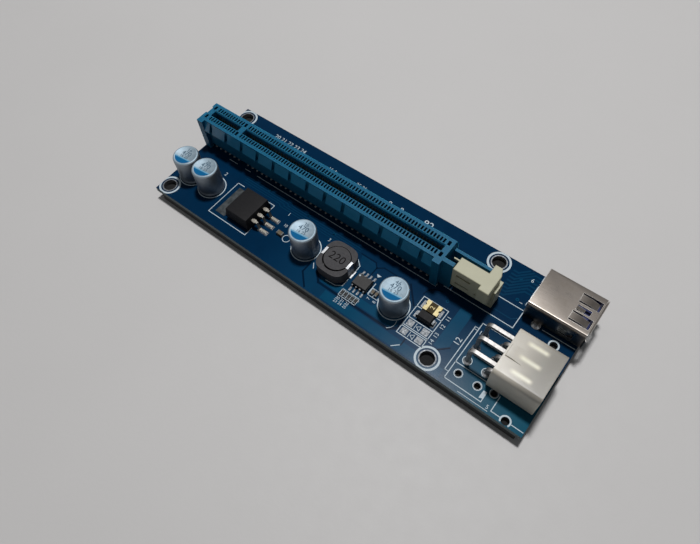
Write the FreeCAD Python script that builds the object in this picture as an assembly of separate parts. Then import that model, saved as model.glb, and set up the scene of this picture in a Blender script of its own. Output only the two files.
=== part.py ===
"""PCI Express riser card, modelled piece by piece in FreeCAD.

Every piece is drawn in the board's own frame, in millimetres: the origin is
the near left corner of the circuit board's top face, +X runs along the board
towards its plug end, +Y towards the long edge that carries the card slot, and
+Z up. Each piece is moved at the end so that the finished assembly stands on
its foam pad, with the origin under the middle of its bounding box.
"""
import FreeCAD
import Part
import math
import os
from FreeCAD import Vector

os.makedirs("parts", exist_ok=True)

# ---- driving dimensions -------------------------------------------------
board_length = 127.8
board_width = 42.0
board_thickness = 1.6

foam_thickness = 2.6
foam_length = 126.7
foam_corner = 2.5

hole_radius = 2.0
hole_left = 2.95
hole_near = 3.3
hole_pitch_x = 96.3
hole_pitch_y = 35.4

tail_end = -2.7                       # how far the header's and socket's tails reach

# card slot
slot_left = 0.2
slot_length = 89.1
slot_height = 11.25
slot_centre_y = 26.95
slot_half_width = 3.75
slot_floor = 1.3                      # clear height under the housing
contact_pitch = 1.0
first_contact = 3.45
contacts_before_key = 11
contacts_after_key = 71
key_centre = 14.95
channel_half = 0.9
channel_floor = 3.0

# slot extension and its latch
rail_end = 92.6
extension_end = 101.2
far_rail_height = 8.7
latch_left = 92.85
latch_right = 103.85
latch_near = 23.05

# USB socket
usb_back = 112.2
usb_front = 127.95
usb_near = 28.0
usb_far = 40.8
usb_top = 7.0
usb_sheet = 0.3

# power header
pin_pitch = 4.2
header_back = 114.45
header_front = 127.1
header_centre_y = 13.0
header_width = 13.8
header_top = 9.6
header_floor = 0.2
header_rounding = 1.1
ramp_rise = 0.4                       # the low ramp that the plug's latch climbs
upper_row_x = 107.65
lower_row_x = 113.1

# capacitors
can_radius = 4.0
can_top = 9.0
can_places = [(6.0, 10.7), (14.3, 10.6), (52.8, 10.5), (83.7, 10.5)]

# voltage regulator, inductor, converter chip
regulator_centre = (30.9, 10.05)
inductor_centre = (63.9, 11.4)
chip_centre = (73.05, 10.65)

UP = Vector(0, 0, 1)


# ---- helpers --------------------------------------------------------------
def block(x0, x1, y0, y1, z0, z1):
    return Part.makeBox(x1 - x0, y1 - y0, z1 - z0, Vector(x0, y0, z0))


def post(x, y, radius, z0, z1):
    return Part.makeCylinder(radius, z1 - z0, Vector(x, y, z0), UP)


def outline(points):
    return Part.Face(Part.makePolygon(points + [points[0]]))


def prism_x(profile_yz, x0, x1):
    """A section drawn in Y and Z, run along X."""
    face = outline([Vector(x0, y, z) for y, z in profile_yz])
    return face.extrude(Vector(x1 - x0, 0, 0))


def prism_y(profile_xz, y0, y1):
    face = outline([Vector(x, y0, z) for x, z in profile_xz])
    return face.extrude(Vector(0, y1 - y0, 0))


def prism_z(profile_xy, z0, z1):
    face = outline([Vector(x, y, z0) for x, y in profile_xy])
    return face.extrude(Vector(0, 0, z1 - z0))


def joined(shapes):
    return shapes[0].multiFuse(shapes[1:]).removeSplitter()


def less(shape, cutters):
    return shape.cut(Part.makeCompound(cutters))


def group(shapes):
    return Part.makeCompound(shapes)


def turned(profile_rz, x, y):
    """A closed section of radius and height, turned about a vertical axis."""
    face = outline([Vector(x + r, y, z) for r, z in profile_rz])
    return face.revolve(Vector(x, y, 0), UP, 360)


def tapered_body(cx, cy, length, width, z0, z1, draft, belt):
    """A moulded package: full size at its parting line, smaller above and below."""
    def frame(shrink, z):
        hx = length / 2 - shrink
        hy = width / 2 - shrink
        ring = [(-hx, -hy), (hx, -hy), (hx, hy), (-hx, hy), (-hx, -hy)]
        return Part.makePolygon([Vector(cx + a, cy + b, z) for a, b in ring])
    lower = Part.makeLoft([frame(draft / 2, z0), frame(0, belt)], True, True)
    upper = Part.makeLoft([frame(0, belt), frame(draft, z1)], True, True)
    return lower.fuse(upper).removeSplitter()


# ---- places that several pieces share -------------------------------------
mount_holes = [(hole_left + i * hole_pitch_x, hole_near + j * hole_pitch_y)
               for i in (0, 1) for j in (0, 1)]
peg_holes = [(122.85, 1.15), (122.8, 25.2)]
header_rows_y = [header_centre_y + k * pin_pitch for k in (-1, 0, 1)]
spare_row_y = header_centre_y - 2 * pin_pitch
contact_places = [first_contact + i * contact_pitch for i in range(contacts_before_key)]
contact_places += [key_centre + 1.5 + i * contact_pitch for i in range(contacts_after_key)]
outer_tail = 3.25
inner_tail = 1.25
usb_leg_x = 116.5
usb_leg_width = 2.0


def tail_offset(index):
    """Tails leave the slot in two staggered rows on each side."""
    return outer_tail if index % 2 == 0 else inner_tail


# ---- board and foam --------------------------------------------------------
def make_board():
    """The board, with open holes where a screw, a peg or a bare pin goes through.

    The slot's and capacitors' plated holes are full of solder, so the board
    runs on through them and the tails end at its face.
    """
    board = block(0, board_length, 0, board_width, -board_thickness, 0)
    low = -board_thickness - 1
    cuts = [post(x, y, hole_radius, low, 1) for x, y in mount_holes]
    cuts += [post(x, y, 1.05, low, 1) for x, y in peg_holes]
    for y in header_rows_y + [spare_row_y]:
        cuts.append(post(upper_row_x, y, 0.85, low, 1))
        cuts.append(post(lower_row_x, y, 0.85, low, 1))
    cuts.append(post(117.35, spare_row_y + 0.8, 0.85, low, 1))
    for y in (usb_near, usb_far):
        cuts.append(block(usb_leg_x - 1.3, usb_leg_x + 1.3, y - 0.5, y + 0.5, low, 1))
    return less(board, cuts)


def make_foam():
    """Closed-cell pad under the board, with room for the solder side."""
    top = -board_thickness
    bottom = top - foam_thickness
    pad = block(0, foam_length, 0, board_width, bottom, top)
    left = [e for e in pad.Edges
            if abs(e.tangentAt(e.FirstParameter).z) > 0.9 and e.CenterOfMass.x < 1]
    pad = pad.makeFillet(foam_corner, left)
    deep = tail_end - 0.3
    cuts = [post(x, y, 2.3, bottom - 1, top + 1) for x, y in mount_holes]
    cuts.append(block(upper_row_x - 1.4, lower_row_x + 1.4, header_rows_y[0] - 1.4,
                      header_rows_y[-1] + 1.4, deep, top + 1))
    for y in (usb_near, usb_far):
        cuts.append(block(usb_leg_x - 1.8, usb_leg_x + 1.8, y - 1, min(y + 1, 41.4),
                          deep, top + 1))
    return less(pad, cuts)


# ---- card slot -------------------------------------------------------------
boss_length = 2.2
boss_proud = 1.25
pad_pitch = 6.525
first_gap = 5.1
gap_width = 1.2
window_outer = 2.8
window_inner = 1.3


def side_pads(side):
    """The sloping pads along the slot's wall, parted by narrow gaps."""
    wall = slot_half_width
    section = [(wall - 0.1, slot_height - 0.2), (wall + 1.2, slot_height - 3.4),
               (wall + 1.2, slot_height - 3.8), (wall - 0.1, slot_height - 3.8)]
    section = [(slot_centre_y + side * y, z) for y, z in section]
    starts = [slot_left + boss_length]
    ends = []
    for i in range(13):
        middle = first_gap + i * pad_pitch
        ends.append(middle - gap_width / 2)
        starts.append(middle + gap_width / 2)
    ends.append(slot_left + slot_length - boss_length)
    return [prism_x(section, a, b) for a, b in zip(starts, ends)]


def make_slot_housing():
    left = slot_left
    right = slot_left + slot_length
    near = slot_centre_y - slot_half_width
    far = slot_centre_y + slot_half_width
    body = [block(left, right, near, far, slot_floor, slot_height)]
    # feet at both ends, beside the key and in the middle
    for a, b in ((left, left + 2.2), (key_centre - 0.8, key_centre + 0.8),
                 (right - 2.2, right)):
        body.append(block(a, b, slot_centre_y - 2.6, slot_centre_y + 2.6, 0, slot_floor))
    for side in (-1, 1):
        inner = slot_centre_y + side * (slot_half_width - 0.1)
        outer = slot_centre_y + side * (slot_half_width + boss_proud)
        for a in (left, right - boss_length):
            body.append(block(a, a + boss_length, min(inner, outer), max(inner, outer),
                              0, slot_height))
        body += side_pads(side)
    # the extension: a floor, a tall near rail, a lower far rail and the latch guide
    floor_top = 3.4
    body.append(block(right - 0.1, rail_end, near + 0.35, far - 0.3, 0, floor_top))
    body.append(block(rail_end - 0.1, extension_end, 25.3, far - 0.3, 0, floor_top))
    body.append(block(right - 0.1, rail_end, near + 0.35, near + 1.55, 0, slot_height))
    body.append(block(right - 0.1, extension_end - 0.4, far - 1.15, far - 0.3, 0,
                      far_rail_height))
    body.append(prism_y([(95.9, floor_top - 0.1), (98.1, floor_top - 0.1), (98.7, 5.0),
                         (95.3, 5.0)], 25.4, 28.9))
    housing = joined(body)

    cuts = []
    y = slot_centre_y
    lead_in = [(y - channel_half, channel_floor), (y + channel_half, channel_floor),
               (y + channel_half, slot_height - 0.45),
               (y + channel_half + 0.3, slot_height + 0.01),
               (y - channel_half - 0.3, slot_height + 0.01),
               (y - channel_half, slot_height - 0.45)]
    for a, b in ((2.6, key_centre - 0.85), (key_centre + 0.95, 87.5)):
        cuts.append(prism_x(lead_in, a, b))
    for side in (-1, 1):
        y0 = slot_centre_y + side * window_inner
        y1 = slot_centre_y + side * window_outer
        low, high = min(y0, y1), max(y0, y1)
        for x in contact_places:
            cuts.append(block(x - 0.3, x + 0.3, low, high, slot_floor - 1, slot_height + 1))
        # blind pockets at the row ends and beside the key
        for a, b in ((1.3, 2.1), (key_centre - 0.75, key_centre + 0.15), (87.5, 88.4)):
            cuts.append(block(a, b, low, high, slot_height - 4, slot_height + 1))
        # the slit that lets the contacts reach into the channel
        slit_inner = slot_centre_y + side * (channel_half - 0.05)
        slit_outer = slot_centre_y + side * window_inner
        for a, b in ((first_contact - 0.3, first_contact + 10.3),
                     (key_centre + 1.2, key_centre + 71.8)):
            cuts.append(block(a, b, min(slit_inner, slit_outer), max(slit_inner, slit_outer),
                              channel_floor, slot_height - 1.6))
    # notch between the horns at the near end
    cuts.append(block(left - 1, left + 0.55, slot_centre_y - 0.9, slot_centre_y + 1.9,
                      slot_height - 1.6, slot_height + 1))
    return less(housing, cuts)


def slot_contact(x, side, tail):
    """One stamped spring contact: foot, jog, beam and a bump facing the card."""
    root = 2.4 if tail > 2 else 1.75
    section = [(tail + 0.15, 0), (root + 0.25, 1.35), (1.7, 9.7), (0.78, 7.6),
               (root - 0.25, 1.35), (tail - 0.15, 0)]
    section = [(slot_centre_y + side * y, z) for y, z in section]
    return prism_x(section, x - 0.2, x + 0.2)


def make_slot_contacts(side):
    return group([slot_contact(x, side, tail_offset(i)) for i, x in enumerate(contact_places)])


def make_latch():
    """The sliding card latch: a block over the near rail line and an arm across."""
    low = 3.5
    arm_left = 100.9
    finger_near = 21.75
    plan = [(latch_left, latch_near), (arm_left, latch_near), (arm_left, finger_near),
            (latch_right, finger_near), (latch_right, 28.25), (102.95, 30.45),
            (arm_left, 30.45), (arm_left, 27.3), (latch_left, 27.3)]
    latch = prism_z(plan, low, slot_height)
    top = [e for e in latch.Edges if abs(e.CenterOfMass.z - slot_height) < 0.01]
    latch = latch.makeChamfer(0.15, top)
    tongue = block(90.95, latch_left + 0.5, 26.75, 27.15, 9.0, 9.8)
    ledge = block(101.6, 104.65, 24.9, 29.0, 0.2, 8.0)
    latch = joined([latch, tongue, ledge])
    wall = latch_near + 0.7
    cuts = [block(94.0, 98.2, latch_near - 1, wall, 8.55, 9.3),
            block(94.0, 98.0, latch_near - 1, wall, 5.1, 5.75),
            block(99.8, 102.6, latch_near, wall, 5.1, 5.75),
            block(arm_left - 1, latch_right + 1, finger_near - 1, latch_near, low - 1, 6.4)]
    # the dovetail that rides on the slot's guide
    cuts.append(prism_y([(95.6, low - 1), (98.4, low - 1), (98.4, low), (98.95, 5.2),
                         (95.05, 5.2), (95.6, low)], 20, 31))
    # room for the far rail's end under the arm
    cuts.append(block(arm_left - 1, 101.5, 27.35, 31, low - 1, far_rail_height + 0.3))
    cuts.append(block(101.4, latch_right + 1, 29.0, 31, low - 1, far_rail_height + 0.3))
    return less(latch, cuts)


# ---- USB socket --------------------------------------------------------------
tongue_rows = [31.45, 37.35]


def usb_tube(x0, x1, inset):
    section = block(x0, x1, usb_near + inset, usb_far - inset, 0.35 + inset, usb_top - inset)
    along = [e for e in section.Edges if abs(e.tangentAt(e.FirstParameter).x) > 0.9]
    return section.makeFillet(0.75 - inset, along)


def make_usb_shell():
    """Folded tin-plated sheet with spring tongues, flared lips and two board legs."""
    shell = usb_tube(usb_back, usb_front, 0).cut(usb_tube(usb_back + usb_sheet,
                                                         usb_front + 1, usb_sheet))
    cuts = []
    for y in tongue_rows:
        cuts.append(block(122.1, 127.5, y - 1.5, y + 1.5, usb_top - 1, usb_top + 1))
    cuts.append(block(122.4, 126.1, 33.45, 35.1, usb_top - 1, usb_top + 1))
    for y in (usb_near, usb_far):
        cuts.append(block(121.2, 125.4, y - 0.6, y + 0.6, 2.4, 4.6))
    cuts.append(block(114.0, 127.0, usb_near + 2, usb_far - 2, 0, 1))
    shell = less(shell, cuts)
    extra = []
    drop = usb_top - usb_sheet
    for y in tongue_rows:
        extra.append(prism_y([(122.0, drop), (122.0, usb_top), (124.9, usb_top - 0.05),
                              (126.9, usb_top - 0.65), (126.8, usb_top - 0.95),
                              (124.8, drop - 0.05)], y - 1.05, y + 1.05))
    extra.append(prism_y([(122.3, drop), (122.3, usb_top), (124.6, usb_top - 0.3),
                          (124.6, drop - 0.3)], 33.75, 34.8))
    for y, s in ((usb_near, 1), (usb_far, -1)):
        extra.append(prism_z([(121.1, y), (124.0, y + s * 0.2), (125.0, y + s * 0.5),
                              (125.0, y + s * 0.8), (124.0, y + s * 0.5),
                              (121.1, y + s * 0.3)], 2.7, 4.3))
        legs = block(usb_leg_x - usb_leg_width / 2, usb_leg_x + usb_leg_width / 2,
                     min(y, y + s * usb_sheet), max(y, y + s * usb_sheet), tail_end, 1.2)
        extra.append(legs)
    # flared lips round the mouth
    lip = 0.45
    extra.append(prism_y([(usb_front - 0.05, usb_top - usb_sheet), (usb_front - 0.05, usb_top),
                          (usb_front + lip, usb_top + lip),
                          (usb_front + lip, usb_top + lip - usb_sheet)], 29.3, 39.6))
    for y, s in ((usb_near, -1), (usb_far, 1)):
        extra.append(prism_z([(usb_front - 0.05, y - s * usb_sheet), (usb_front - 0.05, y),
                              (usb_front + lip, y + s * lip),
                              (usb_front + lip, y + s * (lip - usb_sheet))], 1.6, 5.8))
    return joined([shell] + extra)


def usb_strip_rows():
    middle = (usb_near + usb_far) / 2
    return [middle - 3.5, middle - 1.0, middle + 1.0, middle + 3.5]


def make_usb_strips():
    """Four flat contacts let into the underside of the tongue."""
    return group([block(120.4, 126.6, y - 0.5, y + 0.5, 3.55, 3.75) for y in usb_strip_rows()])


def make_usb_spring_contacts():
    """Five small sprung contacts behind and below the four flat ones."""
    middle = (usb_near + usb_far) / 2
    rows = [middle + k * 2.0 for k in (-2, -1, 0, 1, 2)]
    return group([prism_y([(119.0, 2.2), (121.2, 2.9), (122.2, 2.6), (122.2, 2.8),
                           (121.2, 3.1), (119.0, 2.4)], y - 0.25, y + 0.25) for y in rows])


def make_usb_insulator():
    back = block(usb_back + 0.35, 118.6, usb_near + 0.35, usb_far - 0.35, 0.7, 6.65)
    along = [e for e in back.Edges if abs(e.tangentAt(e.FirstParameter).x) > 0.9]
    back = back.makeFillet(0.5, along)
    floor = block(118.5, 120.2, usb_near + 0.9, usb_far - 0.9, 0.7, 6.2)
    tongue = prism_y([(119.5, 3.6), (126.9, 3.6), (127.4, 3.9), (127.4, 5.15), (126.9, 5.45),
                      (119.5, 5.45)], usb_near + 0.95, usb_far - 0.95)
    moulding = joined([back, floor, tongue])
    relief = block(114.0, 118.0, usb_near + 2.5, usb_far - 2.5, 0, 2.2)
    return less(moulding, [relief, make_usb_strips(), make_usb_spring_contacts()])


# ---- power header --------------------------------------------------------------
def cavity(y, z, keyed):
    half = 1.75
    x0 = header_back + 3.6
    if keyed:
        cut = 0.8
        ring = [(y - half, z - half), (y + half, z - half), (y + half, z + half - cut),
                (y + half - cut, z + half), (y - half + cut, z + half),
                (y - half, z + half - cut)]
        return prism_x(ring, x0, header_front + 1)
    return block(x0, header_front + 1, y - half, y + half, z - half, z + half)


row_heights = [header_floor + 2.7, header_floor + 2.7 + pin_pitch]


def make_header_housing():
    """Right-angle six-way shroud: two rows of three cavities, feet and a low latch ramp."""
    near = header_centre_y - header_width / 2
    far = header_centre_y + header_width / 2
    shroud = block(header_back, header_front, near, far, header_floor, header_top)
    long_edges = [e for e in shroud.Edges if abs(e.tangentAt(e.FirstParameter).x) > 0.9
                  and e.CenterOfMass.z > header_top - 0.1]
    shroud = shroud.makeFillet(header_rounding, long_edges)
    ramp = prism_y([(115.0, header_top - 0.2), (115.0, header_top + ramp_rise),
                    (116.6, header_top + ramp_rise), (121.0, header_top - 0.2)],
                   header_centre_y - 1.8, header_centre_y + 1.8)
    feet = [block(115.2, 117.2, y - 0.9, y + 0.9, 0, header_floor + 0.1)
            for y in (near + 1.6, far - 1.6)]
    feet += [block(125.0, 126.6, y - 0.9, y + 0.9, 0, header_floor + 0.1)
             for y in (near + 1.6, far - 1.6)]
    shroud = joined([shroud, ramp] + feet)
    cuts = []
    for k, y in enumerate(header_rows_y):
        for j, z in enumerate(row_heights):
            cuts.append(cavity(y, z, (k + j) % 2 == 1))
            cuts.append(block(header_back - 1, header_back + 5, y - 0.55, y + 0.55,
                              z - 0.54, z + 0.54))
    # shallow slots in the back face, between the pins
    for y in (header_centre_y - pin_pitch / 2, header_centre_y + pin_pitch / 2):
        cuts.append(block(header_back - 1, header_back + 1.2, y - 0.5, y + 0.5, 2.0, 7.6))
    return less(shroud, cuts)


def header_pin(y, z, x_down):
    """A square pin bent down through the board on one easy radius."""
    thick = 1.07
    half = thick / 2
    bend = 1.3
    tip = 122.8
    top = z + half
    bottom = z - half
    centre = Vector(x_down + bend, y - half - 0.015, z - bend)
    r_out = bend + half
    r_in = bend - half
    a = 3 * math.pi / 4
    yy = y - half - 0.015
    outer_mid = Vector(centre.x + r_out * math.cos(a), yy, centre.z + r_out * math.sin(a))
    inner_mid = Vector(centre.x + r_in * math.cos(a), yy, centre.z + r_in * math.sin(a))
    p = [Vector(tip, yy, z + 0.25), Vector(tip - 0.9, yy, top),
         Vector(centre.x, yy, top), Vector(x_down - half, yy, centre.z),
         Vector(x_down - half, yy, tail_end + 0.4), Vector(x_down - 0.2, yy, tail_end),
         Vector(x_down + 0.2, yy, tail_end), Vector(x_down + half, yy, tail_end + 0.4),
         Vector(x_down + half, yy, centre.z), Vector(centre.x, yy, bottom),
         Vector(tip - 0.9, yy, bottom), Vector(tip, yy, z - 0.25)]
    edges = [Part.makeLine(p[0], p[1]), Part.makeLine(p[1], p[2]),
             Part.Arc(p[2], outer_mid, p[3]).toShape(), Part.makeLine(p[3], p[4]),
             Part.makeLine(p[4], p[5]), Part.makeLine(p[5], p[6]), Part.makeLine(p[6], p[7]),
             Part.makeLine(p[7], p[8]), Part.Arc(p[8], inner_mid, p[9]).toShape(),
             Part.makeLine(p[9], p[10]), Part.makeLine(p[10], p[11]),
             Part.makeLine(p[11], p[0])]
    return Part.Face(Part.Wire(edges)).extrude(Vector(0, thick + 0.03, 0))


def make_header_pins(row):
    x_down = lower_row_x if row == 0 else upper_row_x
    return group([header_pin(y, row_heights[row], x_down) for y in header_rows_y])


# ---- capacitors ------------------------------------------------------------------
def make_can(x, y):
    """Sealed aluminium can: a rolled bead near its foot and a soft top edge."""
    r = can_radius
    t = can_top
    section = [(0, t), (r - 0.4, t), (r, t - 0.4), (r, 2.9), (r - 0.3, 2.5), (r, 2.1),
               (r, 0), (0, 0)]
    return turned(section, x, y)


# ---- regulator ---------------------------------------------------------------------
lead_pitch = 2.54


def make_regulator_body():
    cx, cy = regulator_centre
    body = tapered_body(cx, cy, 8.8, 10.2, 0.25, 4.55, 0.35, 1.4)
    nose = prism_y([(cx - 5.5, 3.6), (cx - 5.5, 5.5), (cx - 3.2, 5.5), (cx - 3.7, 4.55)],
                   cy - 6, cy + 6)
    tab_room = block(cx - 6, cx + 2.5, cy - 4.1, cy + 4.1, 0, 1.3)
    leads_room = [block(cx + 3.4, cx + 6, cy + k * lead_pitch - 0.4,
                        cy + k * lead_pitch + 0.4, 2.5, 3.1) for k in (-1, 0, 1)]
    return less(body, [nose, tab_room] + leads_room)


def make_regulator_tab():
    cx, cy = regulator_centre
    plate = block(cx - 4.4, cx + 2.5, cy - 4.1, cy + 4.1, 0, 1.3)
    wing = prism_z([(cx - 5.8, cy - 3.6), (cx - 5.3, cy - 4.6), (cx - 4.42, cy - 4.6),
                    (cx - 4.42, cy - 4.1), (cx - 4.3, cy - 4.1), (cx - 4.3, cy + 4.1),
                    (cx - 4.42, cy + 4.1), (cx - 4.42, cy + 4.6), (cx - 5.3, cy + 4.6),
                    (cx - 5.8, cy + 3.6)], 0, 1.3)
    return plate.fuse(wing).removeSplitter()


def bent_lead(x0, x1, y, z_high, z_low, thick, width, foot):
    """A gull-wing lead in the XZ plane, from the body's side down to its pad."""
    s = 1 if x1 > x0 else -1
    knee = x1 - s * foot
    section = [(x0, z_high), (knee - s * 0.35, z_high), (knee + s * 0.15, z_low + thick),
               (x1, z_low + thick), (x1, z_low), (knee - s * 0.1, z_low),
               (knee - s * 0.6, z_high - thick), (x0, z_high - thick)]
    return prism_y(section, y - width / 2, y + width / 2)


def make_regulator_leads():
    cx, cy = regulator_centre
    return group([bent_lead(cx + 3.4, cx + 9.3, cy + k * lead_pitch, 3.1, 0, 0.6, 0.8, 2.6)
                  for k in (-1, 0, 1)])


# ---- inductor ------------------------------------------------------------------------
def cut_square(cx, cy, hx, hy, cut, z0, z1):
    ring = [(-hx, -hy + cut), (-hx + cut, -hy), (hx - cut, -hy), (hx, -hy + cut),
            (hx, hy - cut), (hx - cut, hy), (-hx + cut, hy), (-hx, hy - cut)]
    return prism_z([(cx + a, cy + b) for a, b in ring], z0, z1)


def make_inductor_shield():
    cx, cy = inductor_centre
    shield = cut_square(cx, cy, 4.6, 5.1, 1.9, 0.5, 4.0)
    notch = [block(cx + s * 4.5 - 0.4, cx + s * 4.5 + 0.4, cy - 1.4, cy + 1.4, 0, 5)
             for s in (-1, 1)]
    return less(shield, [post(cx, cy, 4.1, 0, 5)] + notch)


def make_inductor_core():
    """The drum core fills the shield: only the round top of its flange shows."""
    cx, cy = inductor_centre
    return post(cx, cy, 3.8, 0.5, 4.05)


def make_inductor_base():
    cx, cy = inductor_centre
    base = cut_square(cx, cy, 4.7, 5.2, 1.9, 0.1, 0.5)
    return less(base, [block(cx + s * 4.6 - 0.5, cx + s * 4.6 + 0.5, cy - 1.4, cy + 1.4, 0, 1)
                       for s in (-1, 1)])


def make_inductor_clips():
    cx, cy = inductor_centre
    clips = []
    for s in (-1, 1):
        section = [(cx + s * 3.9, 4.0), (cx + s * 3.9, 4.22), (cx + s * 4.7, 4.22),
                   (cx + s * 4.75, 0.2), (cx + s * 5.5, 0.2), (cx + s * 5.5, 0.0),
                   (cx + s * 4.45, 0.0), (cx + s * 4.45, 4.0)]
        clips.append(prism_y(section, cy - 1.3, cy + 1.3))
    return group(clips)


# ---- converter chip -----------------------------------------------------------------
def make_chip_body():
    cx, cy = chip_centre
    return tapered_body(cx, cy, 4.9, 3.9, 0.15, 1.6, 0.2, 0.8)


def make_chip_leads():
    cx, cy = chip_centre
    leads = []
    for s in (-1, 1):
        for k in range(4):
            x = cx + (k - 1.5) * 1.27
            section = [(1.9, 0.92), (2.2, 0.92), (2.5, 0.2), (3.1, 0.2), (3.1, 0),
                       (2.4, 0), (2.1, 0.72), (1.9, 0.72)]
            section = [(cy + s * y, z) for y, z in section]
            leads.append(prism_x(section, x - 0.21, x + 0.21))
    body = make_chip_body()
    return group([lead.cut(body) for lead in leads])


# ---- fuse, diode and small chips -----------------------------------------------------
fuse_x = (90.3, 94.9)
fuse_y = (14.05, 17.25)


def make_fuse_body():
    return block(fuse_x[0] + 1.3, fuse_x[1] - 1.3, fuse_y[0], fuse_y[1], 0.05, 0.75)


def make_fuse_ends():
    middle = (fuse_y[0] + fuse_y[1]) / 2
    ends = []
    for a, b, notch in ((fuse_x[0], fuse_x[0] + 1.3, fuse_x[0]),
                        (fuse_x[1] - 1.3, fuse_x[1], fuse_x[1])):
        plate = block(a, b, fuse_y[0], fuse_y[1], 0, 0.8)
        ends.append(plate.cut(post(notch, middle, 0.4, -1, 2)))
    return group(ends)


diode_centre = (92.8, 12.05)


def make_diode_body():
    cx, cy = diode_centre
    body = tapered_body(cx, cy, 4.3, 2.6, 0.15, 2.2, 0.25, 1.1)
    room = [block(cx + s * 2.15 - 0.9, cx + s * 2.15 + 0.9, cy - 0.7, cy + 0.7, 0, 0.25)
            for s in (-1, 1)]
    return less(body, room)


def make_diode_leads():
    cx, cy = diode_centre
    leads = []
    for s in (-1, 1):
        section = [(cx + s * 2.15, 1.25), (cx + s * 2.7, 1.25), (cx + s * 2.7, 0),
                   (cx + s * 1.35, 0), (cx + s * 1.35, 0.2), (cx + s * 2.5, 0.2),
                   (cx + s * 2.5, 1.05), (cx + s * 2.15, 1.05)]
        leads.append(prism_y(section, cy - 0.7, cy + 0.7))
    body = make_diode_body()
    return group([lead.cut(body) for lead in leads])


small_resistors = [(70.2 + 1.13 * i, 5.3) for i in range(5)]
small_capacitors = [(76.95, 10.2), (78.15, 10.2)]
input_capacitor = (43.6, 9.75)


def chip_middle(x, y, half_x, half_y, height, cap):
    return block(x - half_x, x + half_x, y - half_y + cap, y + half_y - cap, 0.03,
                 height - 0.03)


def chip_ends(x, y, half_x, half_y, height, cap):
    return [block(x - half_x, x + half_x, y - half_y, y - half_y + cap, 0, height),
            block(x - half_x, x + half_x, y + half_y - cap, y + half_y, 0, height)]


def make_resistor_bodies():
    return group([chip_middle(x, y, 0.4, 0.8, 0.45, 0.3) for x, y in small_resistors])


def make_resistor_ends():
    return group([e for x, y in small_resistors for e in chip_ends(x, y, 0.4, 0.8, 0.45, 0.3)])


def make_capacitor_chips():
    chips = [chip_middle(x, y, 0.4, 0.8, 0.8, 0.35) for x, y in small_capacitors]
    x, y = input_capacitor
    chips.append(block(x - 0.65, x + 0.65, y - 0.62, y + 0.62, 0.03, 1.0))
    return group(chips)


def make_capacitor_chip_ends():
    ends = [e for x, y in small_capacitors for e in chip_ends(x, y, 0.4, 0.8, 0.8, 0.35)]
    x, y = input_capacitor
    ends += [block(x - 1.05, x - 0.65, y - 0.65, y + 0.65, 0, 1.03),
             block(x + 0.65, x + 1.05, y - 0.65, y + 0.65, 0, 1.03)]
    return group(ends)


# ---- build and save -----------------------------------------------------------------
pieces = {
    "pcb": make_board(),
    "foam_pad": make_foam(),
    "slot_housing": make_slot_housing(),
    "slot_contacts_near": make_slot_contacts(-1),
    "slot_contacts_far": make_slot_contacts(1),
    "slot_latch": make_latch(),
    "usb_shell": make_usb_shell(),
    "usb_insulator": make_usb_insulator(),
    "usb_flat_contacts": make_usb_strips(),
    "usb_spring_contacts": make_usb_spring_contacts(),
    "power_housing": make_header_housing(),
    "power_pins_lower": make_header_pins(0),
    "power_pins_upper": make_header_pins(1),
    "regulator_body": make_regulator_body(),
    "regulator_tab": make_regulator_tab(),
    "regulator_leads": make_regulator_leads(),
    "inductor_shield": make_inductor_shield(),
    "inductor_core": make_inductor_core(),
    "inductor_base": make_inductor_base(),
    "inductor_clips": make_inductor_clips(),
    "converter_body": make_chip_body(),
    "converter_leads": make_chip_leads(),
    "fuse_body": make_fuse_body(),
    "fuse_ends": make_fuse_ends(),
    "diode_body": make_diode_body(),
    "diode_leads": make_diode_leads(),
    "resistor_bodies": make_resistor_bodies(),
    "resistor_ends": make_resistor_ends(),
    "ceramic_capacitors": make_capacitor_chips(),
    "ceramic_capacitor_ends": make_capacitor_chip_ends(),
}
for number, (x, y) in enumerate(can_places, start=1):
    pieces["capacitor_can_%d" % number] = make_can(x, y)

whole = Part.makeCompound(list(pieces.values())).BoundBox
stand = Vector(-(whole.XMin + whole.XMax) / 2, -(whole.YMin + whole.YMax) / 2, -whole.ZMin)
for name, shape in pieces.items():
    shape.translate(stand)
    shape.exportStep("parts/%s.step" % name)
print("pieces", len(pieces), "box", whole, "moved by", stand)
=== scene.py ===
"""PCI Express riser card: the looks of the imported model.

Every piece is drawn in the board's own millimetres, with the origin at the near
left corner of the circuit board's top face, +X towards the plug end and +Y
towards the card slot, and is moved into the row frame when it is finished.
"""
import math

import bmesh
import bpy
from bpy.props import FloatProperty, FloatVectorProperty, IntProperty, PointerProperty
from bpy.types import Operator, Panel, PropertyGroup
from mathutils import Euler, Matrix, Vector


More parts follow.
